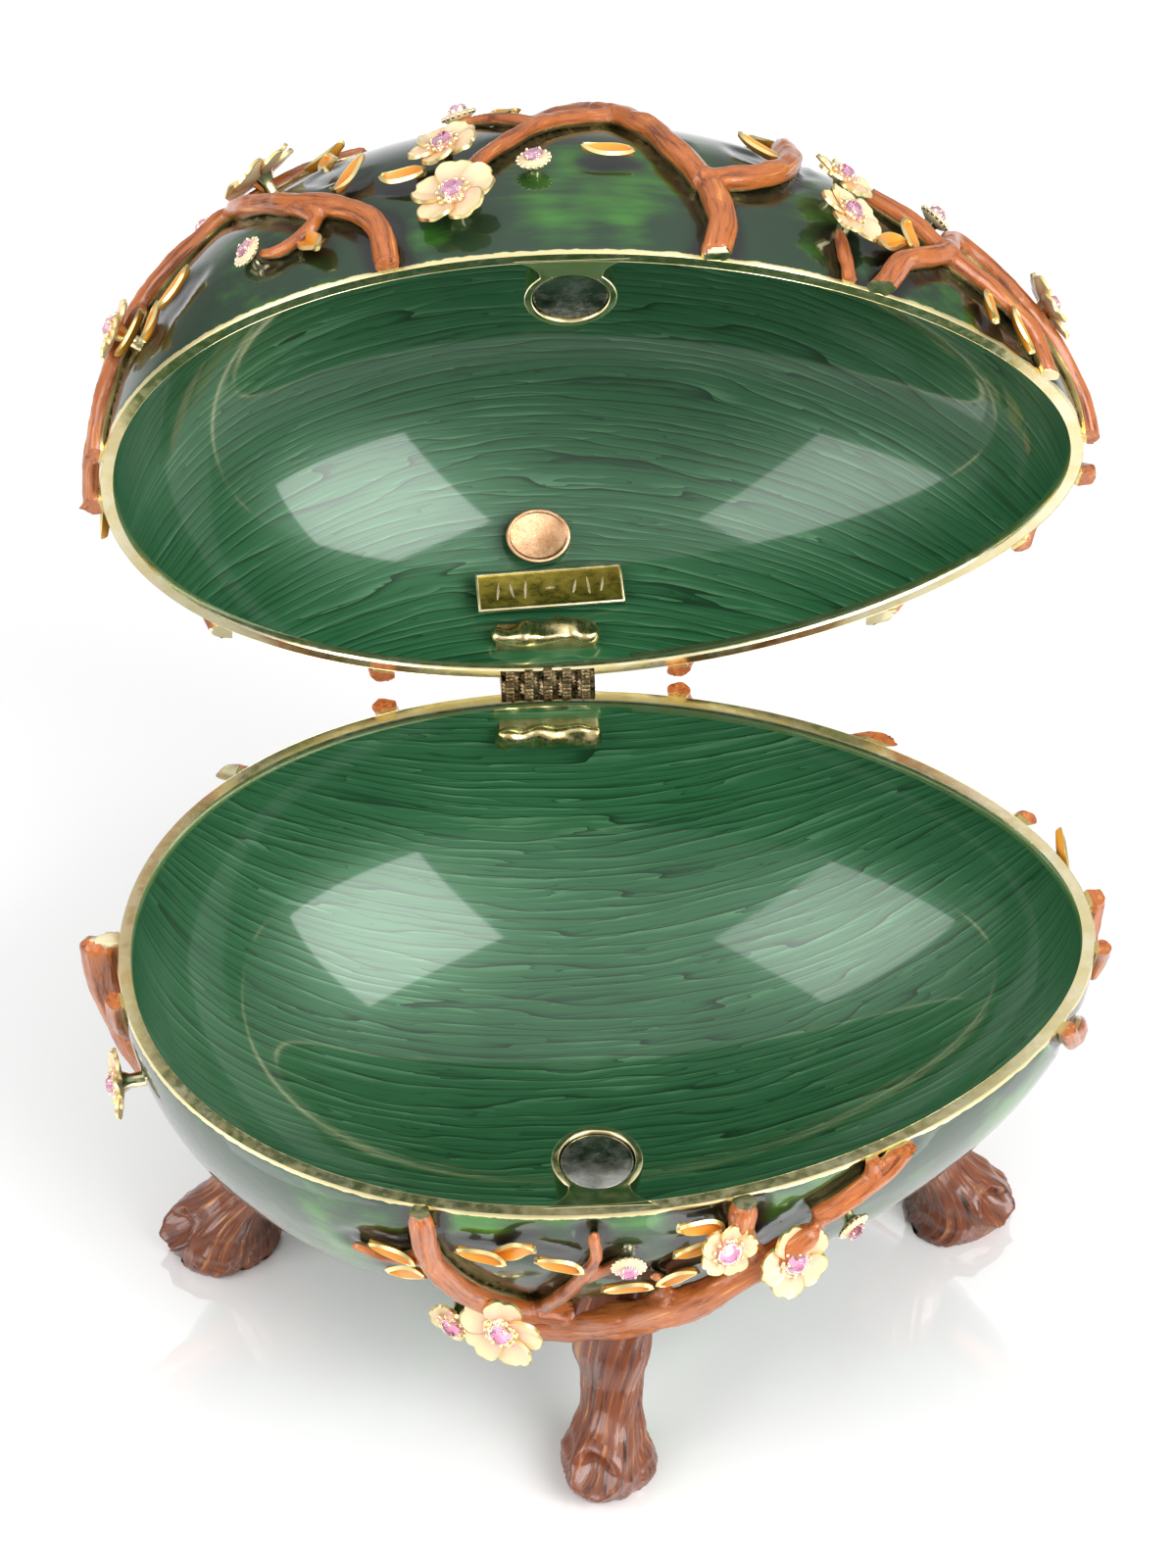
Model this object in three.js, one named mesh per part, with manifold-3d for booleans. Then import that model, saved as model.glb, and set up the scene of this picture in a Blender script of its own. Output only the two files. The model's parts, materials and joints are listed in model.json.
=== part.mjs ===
// Jewelled egg trinket box: a cast egg lying on its side on four tree-trunk legs.
// It is split level along its long axis and hinged at the back, with flowering branches in relief.
// Millimetres, +Z up. The pointed end is at +X, the opening side at -Y and the hinge at +Y.

import * as THREE from "three";
import { mergeVertices } from "three/addons/utils/BufferGeometryUtils.js";
import Module from "manifold-3d";

const wasm = await Module();
wasm.setup();

// ---------------------------------------------------------------- driving dimensions

const HALF_LENGTH = 60; // egg, along X
const HALF_WIDTH = 44.7; // egg, along Y, at the middle
const HEIGHT_RATIO = 0.93; // height of each half over its half width
const EGG_SKEW = [-0.089, -0.019, -0.043]; // fullness towards the blunt end, by powers of x
const WALL = 1.9; // cast wall, seen as the rim's face
const RIM_DROP = 50.5; // rim plane above the floor
const PARTING = 0.3; // between the two rims when the box is closed
const TOUCH = 0.3; // between pieces fixed to each other
const ORIGIN = new THREE.Vector3(1.34, -15.19, 0); // middle of the whole box's footprint

const LID_OPEN_DEG = 77;
const HINGE_Y = 46; // pin axis, level with the rims
const HINGE_X = -5; // middle of the barrel
const KNUCKLES = 5;
const KNUCKLE_LENGTH = 2.1;
const KNUCKLE_RADIUS = 2.8;
const BORE_RADIUS = 1.25;
const PIN_RADIUS = 0.95;
const LEAF_DEPTH = 2.7;
const LEAF_GAP = 3.3; // from the pin axis to the face of a leaf
const LEAF_REACH = [5.4, 0.5]; // how far a leaf goes inwards and outwards of the pin axis
const NOTCH_SIDE = 0.4; // room beside the leaves in the rims

const MAGNET_X = -3.3;
const MAGNET_Y = -35.9;
const MAGNET_RADIUS = 4.4;
const MAGNET_THICK = 2;
const BOSS_RADIUS = 5.7;
const BOSS_DEPTH = 4.6;

const PLATE = { x: -4.5, angle: 164.5, length: 18.7, height: 5, thick: 0.7, turnDeg: -3.5 };
const PLATE_STANDOFF = 2.1; // a flat plate in the middle of a hollow wall
const MEDALLION = { x: -5.8, angle: 154, length: 8, height: 6.9, thick: 0.7, turnDeg: 0 };

const PETAL_REACH = 5.2;
const PETAL_THICK = 0.9;
const PETAL_POINTS = 3; // of the outline, for each petal
const BLOSSOM_LIFT = 3.5; // underside of a blossom above the egg
const BUD_LIFT = 2.8; // top of a bud's cup above the egg
const STONE_RADIUS = 1.3;
const STONE_HEIGHT = 1.1;
const ROUND_SIDES = 16; // of magnets, their bosses and the medallion
const LIMB_SIDES = 4;
const LIMB_STEPS = 1; // per stretch between two bearings
const OUTSIDE_FACETS = [24, 12];
const INSIDE_FACETS = [24, 12];
const LEAF_SIZE = [2.9, 1.15, 1.5]; // half length, half width, half thickness of a leaf in relief

// ---------------------------------------------------------------- materials

function metal(colour, roughness, metalness) {
  return new THREE.MeshStandardMaterial({ color: colour, roughness, metalness });
}

const ENAMEL = metal("#1f5a2a", 0.18, 0.3);
const BARK = metal("#8f5030", 0.3, 0.2);
const PETAL = metal("#f0d6ae", 0.35, 0.1);
const STONE = metal("#e59ac2", 0.08, 0);
const ANTIQUE_GOLD = metal("#a07e45", 0.32, 0.95);
const NICKEL = metal("#5c5c56", 0.22, 0.95);
const OLIVE_BRASS = metal("#7a7430", 0.3, 0.9);
const ROSE_COPPER = metal("#b9805a", 0.35, 0.9);

// ---------------------------------------------------------------- solids

// A closed geometry as a solid that can be joined and cut.
function solid(geometry) {
  const bare = geometry.clone();
  bare.deleteAttribute("normal");
  bare.deleteAttribute("uv");
  const merged = mergeVertices(bare, 1e-4);
  const made = new wasm.Manifold(
    new wasm.Mesh({
      numProp: 3,
      vertProperties: merged.attributes.position.array,
      triVerts: new Uint32Array(merged.index.array),
    }),
  );
  return made;
}

// The solid as a geometry again.
function geometryOf(made) {
  const mesh = made.getMesh();
  const geometry = new THREE.BufferGeometry();
  geometry.setAttribute("position", new THREE.BufferAttribute(mesh.vertProperties, 3));
  geometry.setIndex(new THREE.BufferAttribute(mesh.triVerts, 1));
  geometry.computeVertexNormals();
  return geometry;
}

// A box between two corners.
function block(low, high) {
  const size = high.map((value, axis) => value - low[axis]);
  const geometry = new THREE.BoxGeometry(...size);
  geometry.translate(...low.map((value, axis) => value + size[axis] / 2));
  return solid(geometry);
}

// An upright cylinder or cone from z = bottom to z = top.
function post(x, y, bottom, top, radiusBottom, radiusTop, sides) {
  const geometry = new THREE.CylinderGeometry(radiusTop, radiusBottom, top - bottom, sides);
  geometry.rotateX(Math.PI / 2);
  geometry.translate(x, y, (bottom + top) / 2);
  return solid(geometry);
}

// ---------------------------------------------------------------- the egg's surface

// The egg's fullness at a length x, as a factor on its width.
function fullness(c) {
  return 1 + EGG_SKEW[0] * c + EGG_SKEW[1] * c * c + EGG_SKEW[2] * c * c * c;
}

// Outward direction of the egg's surface at a point on it.
function outward(point) {
  const high = HALF_WIDTH * HEIGHT_RATIO;
  return new THREE.Vector3(
    point.x / HALF_LENGTH ** 2,
    point.y / HALF_WIDTH ** 2,
    point.z / high ** 2,
  ).normalize();
}

// The point of the egg in a direction, raised above its surface by lift.
function eggPoint(direction, lift) {
  const width = HALF_WIDTH * fullness(direction.x);
  const point = new THREE.Vector3(
    HALF_LENGTH * direction.x,
    width * direction.y,
    width * HEIGHT_RATIO * direction.z,
  );
  return point.addScaledVector(outward(point), lift);
}

// The same by bearings in degrees. Round is 0 at the pointed end, 90 at the front, 180 at the
// blunt end and 270 at the hinge. Up is 0 at the rim, 90 at the top and -90 at the bottom.
function at(round, up, lift = 0) {
  const turn = THREE.MathUtils.degToRad(round);
  const rise = THREE.MathUtils.degToRad(up);
  const level = Math.cos(rise);
  return eggPoint(
    new THREE.Vector3(Math.cos(turn) * level, -Math.sin(turn) * level, Math.sin(rise)),
    lift,
  );
}

// The egg as a closed body, grown or shrunk by lift, with its poles at the two ends.
function egg(lift, facets = OUTSIDE_FACETS) {
  const geometry = new THREE.SphereGeometry(1, ...facets);
  geometry.rotateZ(-Math.PI / 2);
  const positions = geometry.attributes.position;
  for (let i = 0; i < positions.count; i += 1) {
    const direction = new THREE.Vector3().fromBufferAttribute(positions, i);
    positions.setXYZ(i, ...eggPoint(direction, lift));
  }
  return solid(geometry);
}

// ---------------------------------------------------------------- branches, twigs and leaves

// A round limb through a row of points, its radius going evenly through the radii.
// Tall stretches its section away from the egg.
function limb(points, radii, steps, sides, tall = 1) {
  const curve = new THREE.CatmullRomCurve3(points, false, "centripetal");
  const geometry = new THREE.CylinderGeometry(1, 1, 1, sides, steps);
  const positions = geometry.attributes.position;
  for (let i = 0; i < positions.count; i += 1) {
    const t = THREE.MathUtils.clamp(positions.getY(i) + 0.5, 0, 1);
    const centre = curve.getPointAt(t);
    const tangent = curve.getTangentAt(t);
    const side = new THREE.Vector3().crossVectors(tangent, outward(centre)).normalize();
    const away = new THREE.Vector3().crossVectors(side, tangent);
    const place = t * (radii.length - 1);
    const low = Math.min(Math.floor(place), radii.length - 2);
    const radius = THREE.MathUtils.lerp(radii[low], radii[low + 1], place - low);
    centre.addScaledVector(side, positions.getX(i) * radius);
    centre.addScaledVector(away, positions.getZ(i) * radius * tall);
    positions.setXYZ(i, ...centre);
  }
  return solid(geometry);
}

// Branches: bearings [round, up] along each, with its thickness at both ends.
// Left, front, right and back go round the egg as it stands. Each runs over the rim, so that
// the two halves share its cut end.
const BRANCHES = [
  // front: from the front leg round to the left, over the rim to the blunt end's blossoms
  { radii: [2.1, 1.9, 1.7], path: [[98, -44], [103, -36], [109, -26], [113, -13], [114, 0]] },
  { radii: [1.7, 1.5], path: [[114, 0], [115, 8], [119, 14], [128, 20], [138, 27], [148, 34]] },
  { radii: [1.2, 0.8], path: [[128, 20], [124, 14], [128, 10], [132, 11]] },
  { radii: [1.2, 0.8], path: [[113, -10], [118, -15], [124, -14]] },
  { radii: [1.3, 0.8], path: [[101, -34], [97, -22], [94, -11], [94, -3]] },
  { radii: [1, 0.8], path: [[96, -19], [92, -14], [90, -12]] },
  // front: the thick branch that crosses the front leg's top and climbs to the right
  { radii: [2.6, 2.3, 1.8], path: [[102, -47], [95, -43], [88, -36], [81, -26], [75, -17], [68, -10]] },
  { radii: [1.8, 1.6, 1.4], path: [[68, -10], [61, -5], [57, 0], [53, 8], [45, 15], [40, 22]] },
  { radii: [1.1, 0.7], path: [[86, -33], [85, -24], [87, -18]] },
  { radii: [1.7, 2], path: [[75, -17], [77, -8], [77, 0]] },
  // lid: the forked branch at the front and its way over the crown
  { radii: [2, 2, 1.8], path: [[77, 0], [76, 8], [77, 17]] },
  { radii: [1.8, 1.5], path: [[77, 17], [69, 22], [63, 30], [58, 42], [48, 52]] },
  { radii: [1.8, 1.6, 1.3], path: [[77, 17], [80, 29], [85, 45], [96, 60], [130, 74], [185, 72]] },
  { radii: [1.4, 1.1], path: [[85, 45], [96, 37], [103, 24], [107, 14]] },
  { radii: [1.2, 0.8], path: [[96, 37], [104, 44], [112, 48]] },
  { radii: [1.2, 0.8], path: [[61, -4], [61, 2], [61, 12]] },
  // lid: right side, down to the pointed end
  { radii: [1.5, 1.3], path: [[52, 27], [47, 22], [43, 16], [36, 12], [30, 8], [26, 0]] },
  { radii: [1.4, 1.3], path: [[40, 22], [34, 28], [28, 26], [22, 18], [16, 13], [9, 5], [4, -4], [3, -12]] },
  { radii: [1.4, 1.1], path: [[26, 0], [22, -8], [13, -14], [6, -22]] },
  { radii: [1.5, 1.7], path: [[-6, 3], [-7, 0], [-4, -14], [2, -30], [0, -42]] },
  { radii: [1.4, 1.4, 1.2], path: [[-6, 0], [-16, 12], [-28, 20], [-42, 26], [-52, 34]] },
  // blunt end: the tall trunk from the left leg over the rim
  { radii: [2, 1.9, 1.7], tall: 1.7, path: [[180, -44], [181, -34], [183, -22], [184, -10], [184, 0]] },
  { radii: [1.7, 1.6, 1.4], path: [[184, 0], [180, 10], [170, 18], [158, 24], [148, 34]] },
  { radii: [1.3, 1.6], path: [[182, -18], [176, -10], [172, 0], [166, 9], [160, 20]] },
  { radii: [1.3, 0.9], path: [[148, 34], [142, 44], [134, 52]] },
  { radii: [1.5, 1.2], path: [[184, 0], [192, 12], [206, 22], [220, 34]] },
  // back: plainer branches from the back leg, over the rim on both sides of the hinge
  { radii: [2, 1.7, 1.5], path: [[268, -44], [256, -32], [248, -18], [245, 0], [240, 14], [226, 26]] },
  { radii: [1.5, 1.2], path: [[248, -18], [234, -12], [221, 0], [212, 12]] },
  { radii: [2, 1.7, 1.5], path: [[274, -44], [284, -30], [286, -14], [281, 0], [290, 16], [306, 28]] },
  { radii: [1.5, 1.2], path: [[286, -14], [298, -8], [307, 0], [318, 10]] },
  { radii: [1.4, 1.2], path: [[284, -30], [304, -24], [322, -14], [332, 0], [340, 10]] },
  { radii: [1.4, 1.1], path: [[240, 14], [250, 34], [262, 52], [250, 66]] },
];

// Leaves in relief: bearings of the middle, and the way the tip points in degrees, where 0 is
// round towards the blunt end and 90 is up.
const LEAVES = [
  [118, -12, 20], [117, -18, -20], [107, -9, 20], [103, -7, 150], [98, -11, 35],
  [90, -21, 20], [84, -19, 140], [82, -4, 30], [82, -10, 10], [78, -22, -60],
  [121, 24, 120], [124, 9, -120], [147, 13, -30], [151, 9, -80],
  [127, 32, 70], [113, 20, 20], [88, 24, 10], [54, 12, 160], [50, 16, 110],
  [39, 6, -70], [33, 5, -110], [66, 34, 60], [56, 50, 100],
  [104, 50, 60], [138, 46, 150], [158, 12, -40], [192, 5, -40],
  [204, 30, 80], [236, 34, 70], [252, 28, 120],
  [274, 30, 140], [296, 34, 60], [312, 18, -30], [300, -16, -60], [262, -20, 30],
  [238, -22, -20], [340, -2, 160], [346, 18, 60],
];

// One leaf: a flat diamond half sunk in the egg.
function leaf([round, up, tip]) {
  const geometry = new THREE.OctahedronGeometry(1, 0);
  geometry.scale(...LEAF_SIZE);
  geometry.rotateZ(THREE.MathUtils.degToRad(180 - tip));
  geometry.applyMatrix4(standing(at(round, up, 0.5)));
  return solid(geometry);
}

// The frame of a thing that stands on the egg: its Z points away from the egg and its X goes
// round towards the pointed end.
function standing(point) {
  const away = outward(point);
  const along = new THREE.Vector3(-point.y, point.x, 0).normalize();
  const rising = new THREE.Vector3().crossVectors(away, along);
  return new THREE.Matrix4().makeBasis(along, rising, away).setPosition(point);
}

// All the relief as one solid, grown by more where a neighbour is cut to fit it.
function relief(more = 0) {
  const limbs = BRANCHES.map(({ radii, path, tall = 1 }) => {
    const lifted = path.map(([round, up]) => at(round, up, 0.55 * radii[0] * tall));
    const steps = Math.ceil((path.length - 1) * LIMB_STEPS);
    return limb(lifted, radii.map((radius) => radius + more), steps, LIMB_SIDES, tall);
  });
  const leaves = LEAVES.map(leaf);
  return [...limbs, ...leaves].reduce((sum, piece) => sum.add(piece));
}

// ---------------------------------------------------------------- the two halves

// A magnet's boss hangs from the front rim on a neck and runs out into the wall below.
// Up is 1 in the lid, and -1 in the base.
function boss(up) {
  const [low, high] = [0, up * BOSS_DEPTH].sort((a, b) => a - b);
  const cup = post(MAGNET_X, MAGNET_Y, low, high, BOSS_RADIUS, BOSS_RADIUS, ROUND_SIDES);
  const neckX = BOSS_RADIUS * 0.75;
  const neck = block(
    [MAGNET_X - neckX, -HALF_WIDTH - 2, low],
    [MAGNET_X + neckX, MAGNET_Y, high],
  );
  const inside = egg(-WALL / 2);
  return cup.add(neck).intersect(inside);
}

// The pocket that a magnet sits in.
function pocket(up) {
  const radius = MAGNET_RADIUS + TOUCH;
  const depth = MAGNET_THICK + 2 * TOUCH;
  const [low, high] = [-up, up * (PARTING / 2 + depth)].sort((a, b) => a - b);
  return post(MAGNET_X, MAGNET_Y, low, high, radius, radius, ROUND_SIDES);
}

// The gap in both rims that the hinge fills.
function notch() {
  const half = barrelLength() / 2 + NOTCH_SIDE;
  const reach = LEAF_GAP + LEAF_DEPTH + TOUCH;
  return block(
    [HINGE_X - half, HINGE_Y - LEAF_REACH[0] - TOUCH, -reach],
    [HINGE_X + half, HINGE_Y + 6, reach],
  );
}

// One half of the egg: its side of the hollow casting with the relief, boss and pocket.
function half(casting, up) {
  const far = HALF_LENGTH * 2;
  const [low, high] = [up * (PARTING / 2), up * far].sort((a, b) => a - b);
  const side = block([-far, -far, low], [far, far, high]);
  return casting.intersect(side).add(boss(up).intersect(side)).subtract(pocket(up));
}

// ---------------------------------------------------------------- hinge

function barrelLength() {
  return KNUCKLES * KNUCKLE_LENGTH + (KNUCKLES - 1) * TOUCH;
}

// One knuckle: a ring round the pin, closed on itself.
function knuckle(index) {
  const start = HINGE_X - barrelLength() / 2 + index * (KNUCKLE_LENGTH + TOUCH);
  const outline = [
    new THREE.Vector2(BORE_RADIUS, 0),
    new THREE.Vector2(KNUCKLE_RADIUS, 0),
    new THREE.Vector2(KNUCKLE_RADIUS, KNUCKLE_LENGTH),
    new THREE.Vector2(BORE_RADIUS, KNUCKLE_LENGTH),
    new THREE.Vector2(BORE_RADIUS, 0),
  ];
  const geometry = new THREE.LatheGeometry(outline, 10);
  geometry.rotateZ(-Math.PI / 2);
  geometry.translate(start, HINGE_Y, 0);
  return { ring: solid(geometry), start };
}

// A leaf fills its notch behind the barrel, and a web joins it to each of its knuckles.
function hingeLeaf(up, indexes) {
  const spread = (near, far) => [up * near, up * far].sort((a, b) => a - b);
  const [low, high] = spread(LEAF_GAP, LEAF_GAP + LEAF_DEPTH);
  const half = barrelLength() / 2;
  let made = block(
    [HINGE_X - half, HINGE_Y - LEAF_REACH[0], low],
    [HINGE_X + half, HINGE_Y + LEAF_REACH[1], high],
  );
  const [webLow, webHigh] = spread(BORE_RADIUS + 0.6, LEAF_GAP + 1);
  for (const index of indexes) {
    const { ring, start } = knuckle(index);
    const web = block(
      [start, HINGE_Y - 2, webLow],
      [start + KNUCKLE_LENGTH, HINGE_Y + LEAF_REACH[1], webHigh],
    );
    made = made.add(ring).add(web);
  }
  return made;
}

function hingePin() {
  const geometry = new THREE.CylinderGeometry(PIN_RADIUS, PIN_RADIUS, barrelLength() - 0.4, 10);
  geometry.rotateZ(Math.PI / 2);
  geometry.translate(HINGE_X, HINGE_Y, 0);
  return solid(geometry);
}

// ---------------------------------------------------------------- legs

// Trunk legs: the top under the egg, the foot on the floor, and the way the knot faces.
const LEGS = {
  leg_front: { top: [-1.6, -29], knee: [-1, -35.5], foot: [-2, -41], knot: 250, wide: 1 },
  leg_left: { top: [-36, 0], knee: [-43, -0.5], foot: [-48.3, -1], knot: 200, wide: 1.15 },
  leg_right: { top: [33, 1], knee: [39.5, 0], foot: [44.6, -0.6], knot: 320, wide: 1.15 },
  leg_back: { top: [-2, 29], knee: [-2.5, 35.5], foot: [-2.5, 41], knot: 60, wide: 1 },
};
const LEG_RADII = [5.6, 5.9, 5.2, 4.1, 4, 4.6, 5.4, 5.8, 5.5];
const LEG_SIDES = 9;
const SEAT_HEIGHT = 3.2; // how far a leg's seat stands off the egg
const KNOT = { height: 5, radius: 2.7, reach: 5.6 };

// A trunk with shallow ridges that wind round it, from inside the egg down into the floor.
function trunk({ top, knee, foot, knot, wide }) {
  const points = [
    new THREE.Vector3(top[0], top[1], -22),
    new THREE.Vector3(knee[0], knee[1], -37),
    new THREE.Vector3(foot[0], foot[1], -46),
    new THREE.Vector3(foot[0], foot[1], -RIM_DROP - 0.8),
  ];
  const curve = new THREE.CatmullRomCurve3(points);
  const steps = LEG_RADII.length - 1;
  const geometry = new THREE.CylinderGeometry(1, 1, 1, LEG_SIDES, steps);
  const positions = geometry.attributes.position;
  for (let i = 0; i < positions.count; i += 1) {
    const t = THREE.MathUtils.clamp(0.5 - positions.getY(i), 0, 1);
    const turn = Math.atan2(positions.getX(i), positions.getZ(i));
    const ridge = 1 + 0.09 * Math.cos(3 * turn + 4 * t);
    const radius = LEG_RADII[Math.round(t * steps)] * wide * ridge;
    const centre = curve.getPointAt(t);
    const reach = Math.hypot(positions.getX(i), positions.getZ(i)) * radius;
    positions.setXYZ(
      i,
      centre.x + Math.sin(turn) * reach,
      centre.y - Math.cos(turn) * reach,
      centre.z,
    );
  }
  const facing = THREE.MathUtils.degToRad(knot);
  const stub = new THREE.CylinderGeometry(KNOT.radius, KNOT.radius * 1.2, KNOT.reach, 8);
  stub.translate(0, KNOT.reach / 2, 0);
  stub.rotateZ(-Math.PI / 2 + 0.15);
  stub.rotateZ(facing);
  stub.translate(foot[0], foot[1], -RIM_DROP + KNOT.height);
  return solid(geometry).add(solid(stub));
}

// The seat is the trunk's top, cast with the egg.
function legSeat(leg) {
  return trunk(leg).intersect(egg(SEAT_HEIGHT));
}

// The leg is the rest of the trunk, cut flat on the floor.
function trunkLeg(leg, neighbour) {
  const far = HALF_LENGTH * 2;
  const floor = block([-far, -far, -far], [far, far, -RIM_DROP]);
  return trunk(leg).subtract(floor).subtract(neighbour);
}

// ---------------------------------------------------------------- blossoms, stones and plates

// Blossoms: bearings, the turn of their petals and their size.
const BLOSSOMS = {
  blossom_front_left: [106, -30, 10, 1],
  blossom_front_side: [114, -36, 40, 0.62],
  blossom_front_right: [71, -14, 30, 0.9],
  blossom_rim_right: [79, -8, 0, 0.7],
  blossom_trunk: [172, -16, 20, 0.85],
  blossom_lid_front: [106, 11, 15, 1],
  blossom_lid_upper: [108, 24, 50, 0.85],
  blossom_lid_left: [143, 38, 5, 1],
  blossom_lid_right_low: [60, 13, 25, 0.85],
  blossom_lid_right_high: [58, 24, 60, 0.8],
  blossom_lid_end: [20, 19, 10, 0.9],
  blossom_lid_blunt: [160, 13, 30, 0.75],
  blossom_back_left: [226, 27, 20, 0.95],
  blossom_back_right: [306, 29, 0, 0.95],
  blossom_back_end: [308, 50, 40, 0.85],
  blossom_back_low: [304, -25, 15, 0.9],
};

// Buds: lone stones on the twigs.
const BUDS = {
  bud_front: [90, -12],
  bud_front_right: [62, -17],
  bud_lid_front: [97, 20],
  bud_lid_left: [133, 11],
  bud_lid_crown: [112, 49],
  bud_lid_blunt: [158, 36],
  bud_lid_right: [48, 53],
  bud_lid_end: [36, 32],
  bud_back_left: [212, 13],
  bud_back_right: [319, 11],
};

// Five round petals, dished a little towards the middle.
function petals(size) {
  const shape = new THREE.Shape();
  const points = 5 * PETAL_POINTS;
  for (let i = 0; i < points; i += 1) {
    const turn = (i / points) * 2 * Math.PI;
    const reach = PETAL_REACH * size * (0.6 + 0.4 * Math.abs(Math.cos(2.5 * turn)) ** 0.6);
    shape[i ? "lineTo" : "moveTo"](reach * Math.cos(turn), reach * Math.sin(turn));
  }
  shape.closePath();
  const geometry = new THREE.ExtrudeGeometry(shape, {
    depth: PETAL_THICK,
    bevelEnabled: false,
  });
  return geometry;
}

// A faceted stone with its widest line low down.
function stone(radius) {
  const geometry = new THREE.CylinderGeometry(radius * 0.6, radius, STONE_HEIGHT, 6);
  geometry.rotateX(Math.PI / 2);
  geometry.translate(0, 0, STONE_HEIGHT / 2);
  return geometry;
}

// The small cup of metal that a bud's stone sits on, as part of the relief.
function budCup(round, up) {
  const geometry = new THREE.CylinderGeometry(STONE_RADIUS * 1.25, STONE_RADIUS, 2 * BUD_LIFT, 6);
  geometry.rotateX(Math.PI / 2);
  geometry.applyMatrix4(standing(at(round, up)));
  return solid(geometry);
}

// A thin plate inside the lid, flat against the wall behind the hinge. Angle is measured in the
// closed egg from the front rim over the top.
function innerPlate({ x, angle, thick, turnDeg }, geometry) {
  const c = x / HALF_LENGTH;
  const ring = Math.sqrt(1 - c * c);
  const turn = THREE.MathUtils.degToRad(angle);
  const direction = new THREE.Vector3(c, -ring * Math.cos(turn), ring * Math.sin(turn));
  const point = eggPoint(direction, -WALL - PLATE_STANDOFF - thick / 2);
  const away = outward(point);
  const along = new THREE.Vector3(1, 0, 0).addScaledVector(away, -away.x).normalize();
  const rising = new THREE.Vector3().crossVectors(away, along);
  geometry.rotateZ(THREE.MathUtils.degToRad(turnDeg));
  geometry.applyMatrix4(new THREE.Matrix4().makeBasis(along, rising, away).setPosition(point));
  return geometry;
}

function ovalPlate({ length, height, thick }) {
  const geometry = new THREE.CylinderGeometry(0.5, 0.5, thick, ROUND_SIDES);
  geometry.rotateX(Math.PI / 2);
  geometry.scale(length, height, 1);
  return geometry;
}

// ---------------------------------------------------------------- assembly

const box = new THREE.Group();
box.position.set(ORIGIN.x, ORIGIN.y, RIM_DROP);

// The lid turns about the pin axis.
const lid = new THREE.Group();
lid.position.set(0, HINGE_Y, 0);
lid.rotation.x = -THREE.MathUtils.degToRad(LID_OPEN_DEG);
box.add(lid);

function place(name, geometry, material, inLid) {
  const mesh = new THREE.Mesh(geometry, material);
  mesh.name = name;
  if (inLid) geometry.translate(0, -HINGE_Y, 0);
  (inLid ? lid : box).add(mesh);
}

const cups = Object.values(BUDS).map(([round, up]) => budCup(round, up));
const seats = Object.values(LEGS).map(legSeat);
const raised = [...cups, ...seats].reduce((sum, piece) => sum.add(piece), relief());
const casting = egg(0).add(raised).subtract(egg(-WALL, INSIDE_FACETS)).subtract(notch());
place("base_shell", geometryOf(half(casting, -1)), ENAMEL, false);
place("lid_shell", geometryOf(half(casting, 1)), ENAMEL, true);

const neighbour = egg(SEAT_HEIGHT + TOUCH).add(relief(TOUCH));
for (const [name, leg] of Object.entries(LEGS)) {
  place(name, geometryOf(trunkLeg(leg, neighbour)), BARK, false);
}

for (const up of [-1, 1]) {
  const near = up * (PARTING / 2 + TOUCH / 2);
  const [low, high] = [near, near + up * MAGNET_THICK].sort((a, b) => a - b);
  const disc = post(MAGNET_X, MAGNET_Y, low, high, MAGNET_RADIUS, MAGNET_RADIUS, ROUND_SIDES);
  place(up < 0 ? "base_magnet" : "lid_magnet", geometryOf(disc), NICKEL, up > 0);
}

place("hinge_base_leaf", geometryOf(hingeLeaf(-1, [1, 3])), ANTIQUE_GOLD, false);
place("hinge_lid_leaf", geometryOf(hingeLeaf(1, [0, 2, 4])), ANTIQUE_GOLD, true);
place("hinge_pin", geometryOf(hingePin()), ANTIQUE_GOLD, false);

const plate = new THREE.BoxGeometry(PLATE.length, PLATE.height, PLATE.thick);
place("number_plate", innerPlate(PLATE, plate), OLIVE_BRASS, true);
place("maker_medallion", innerPlate(MEDALLION, ovalPlate(MEDALLION)), ROSE_COPPER, true);

for (const [name, [round, up, turn, size]] of Object.entries(BLOSSOMS)) {
  const frame = standing(at(round, up, BLOSSOM_LIFT));
  const flower = petals(size);
  flower.rotateZ(THREE.MathUtils.degToRad(turn));
  place(name, flower.applyMatrix4(frame), PETAL, up > 0);
  const gem = stone(STONE_RADIUS);
  gem.translate(0, 0, PETAL_THICK + TOUCH / 2);
  place(name.replace("blossom", "stone"), gem.applyMatrix4(frame), STONE, up > 0);
}

for (const [name, [round, up]] of Object.entries(BUDS)) {
  const gem = stone(STONE_RADIUS);
  place(name, gem.applyMatrix4(standing(at(round, up, BUD_LIFT + TOUCH / 2))), STONE, up > 0);
}

export default box;
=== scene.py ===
"""Jewelled egg trinket box, dressed over its CAD frame.

A cast egg lies on its side on four tree-trunk legs and opens on a hinge at the back. Its outside
is translucent green enamel under flowering branches in relief, and its inside is marbled enamel.

The egg is modelled closed, in its own frame: X runs to the pointed end, -Y to the opening side,
and the rims meet at height 0. Each half is then set in its place in the row frame, the lid opened
on its pin.
"""

import json
import logging
import math
from collections.abc import Callable, Iterator
from contextlib import contextmanager
from dataclasses import dataclass, field
from enum import Enum

import bmesh
import bpy
from mathutils import Matrix, Vector, noise
from mathutils.kdtree import KDTree

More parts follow.
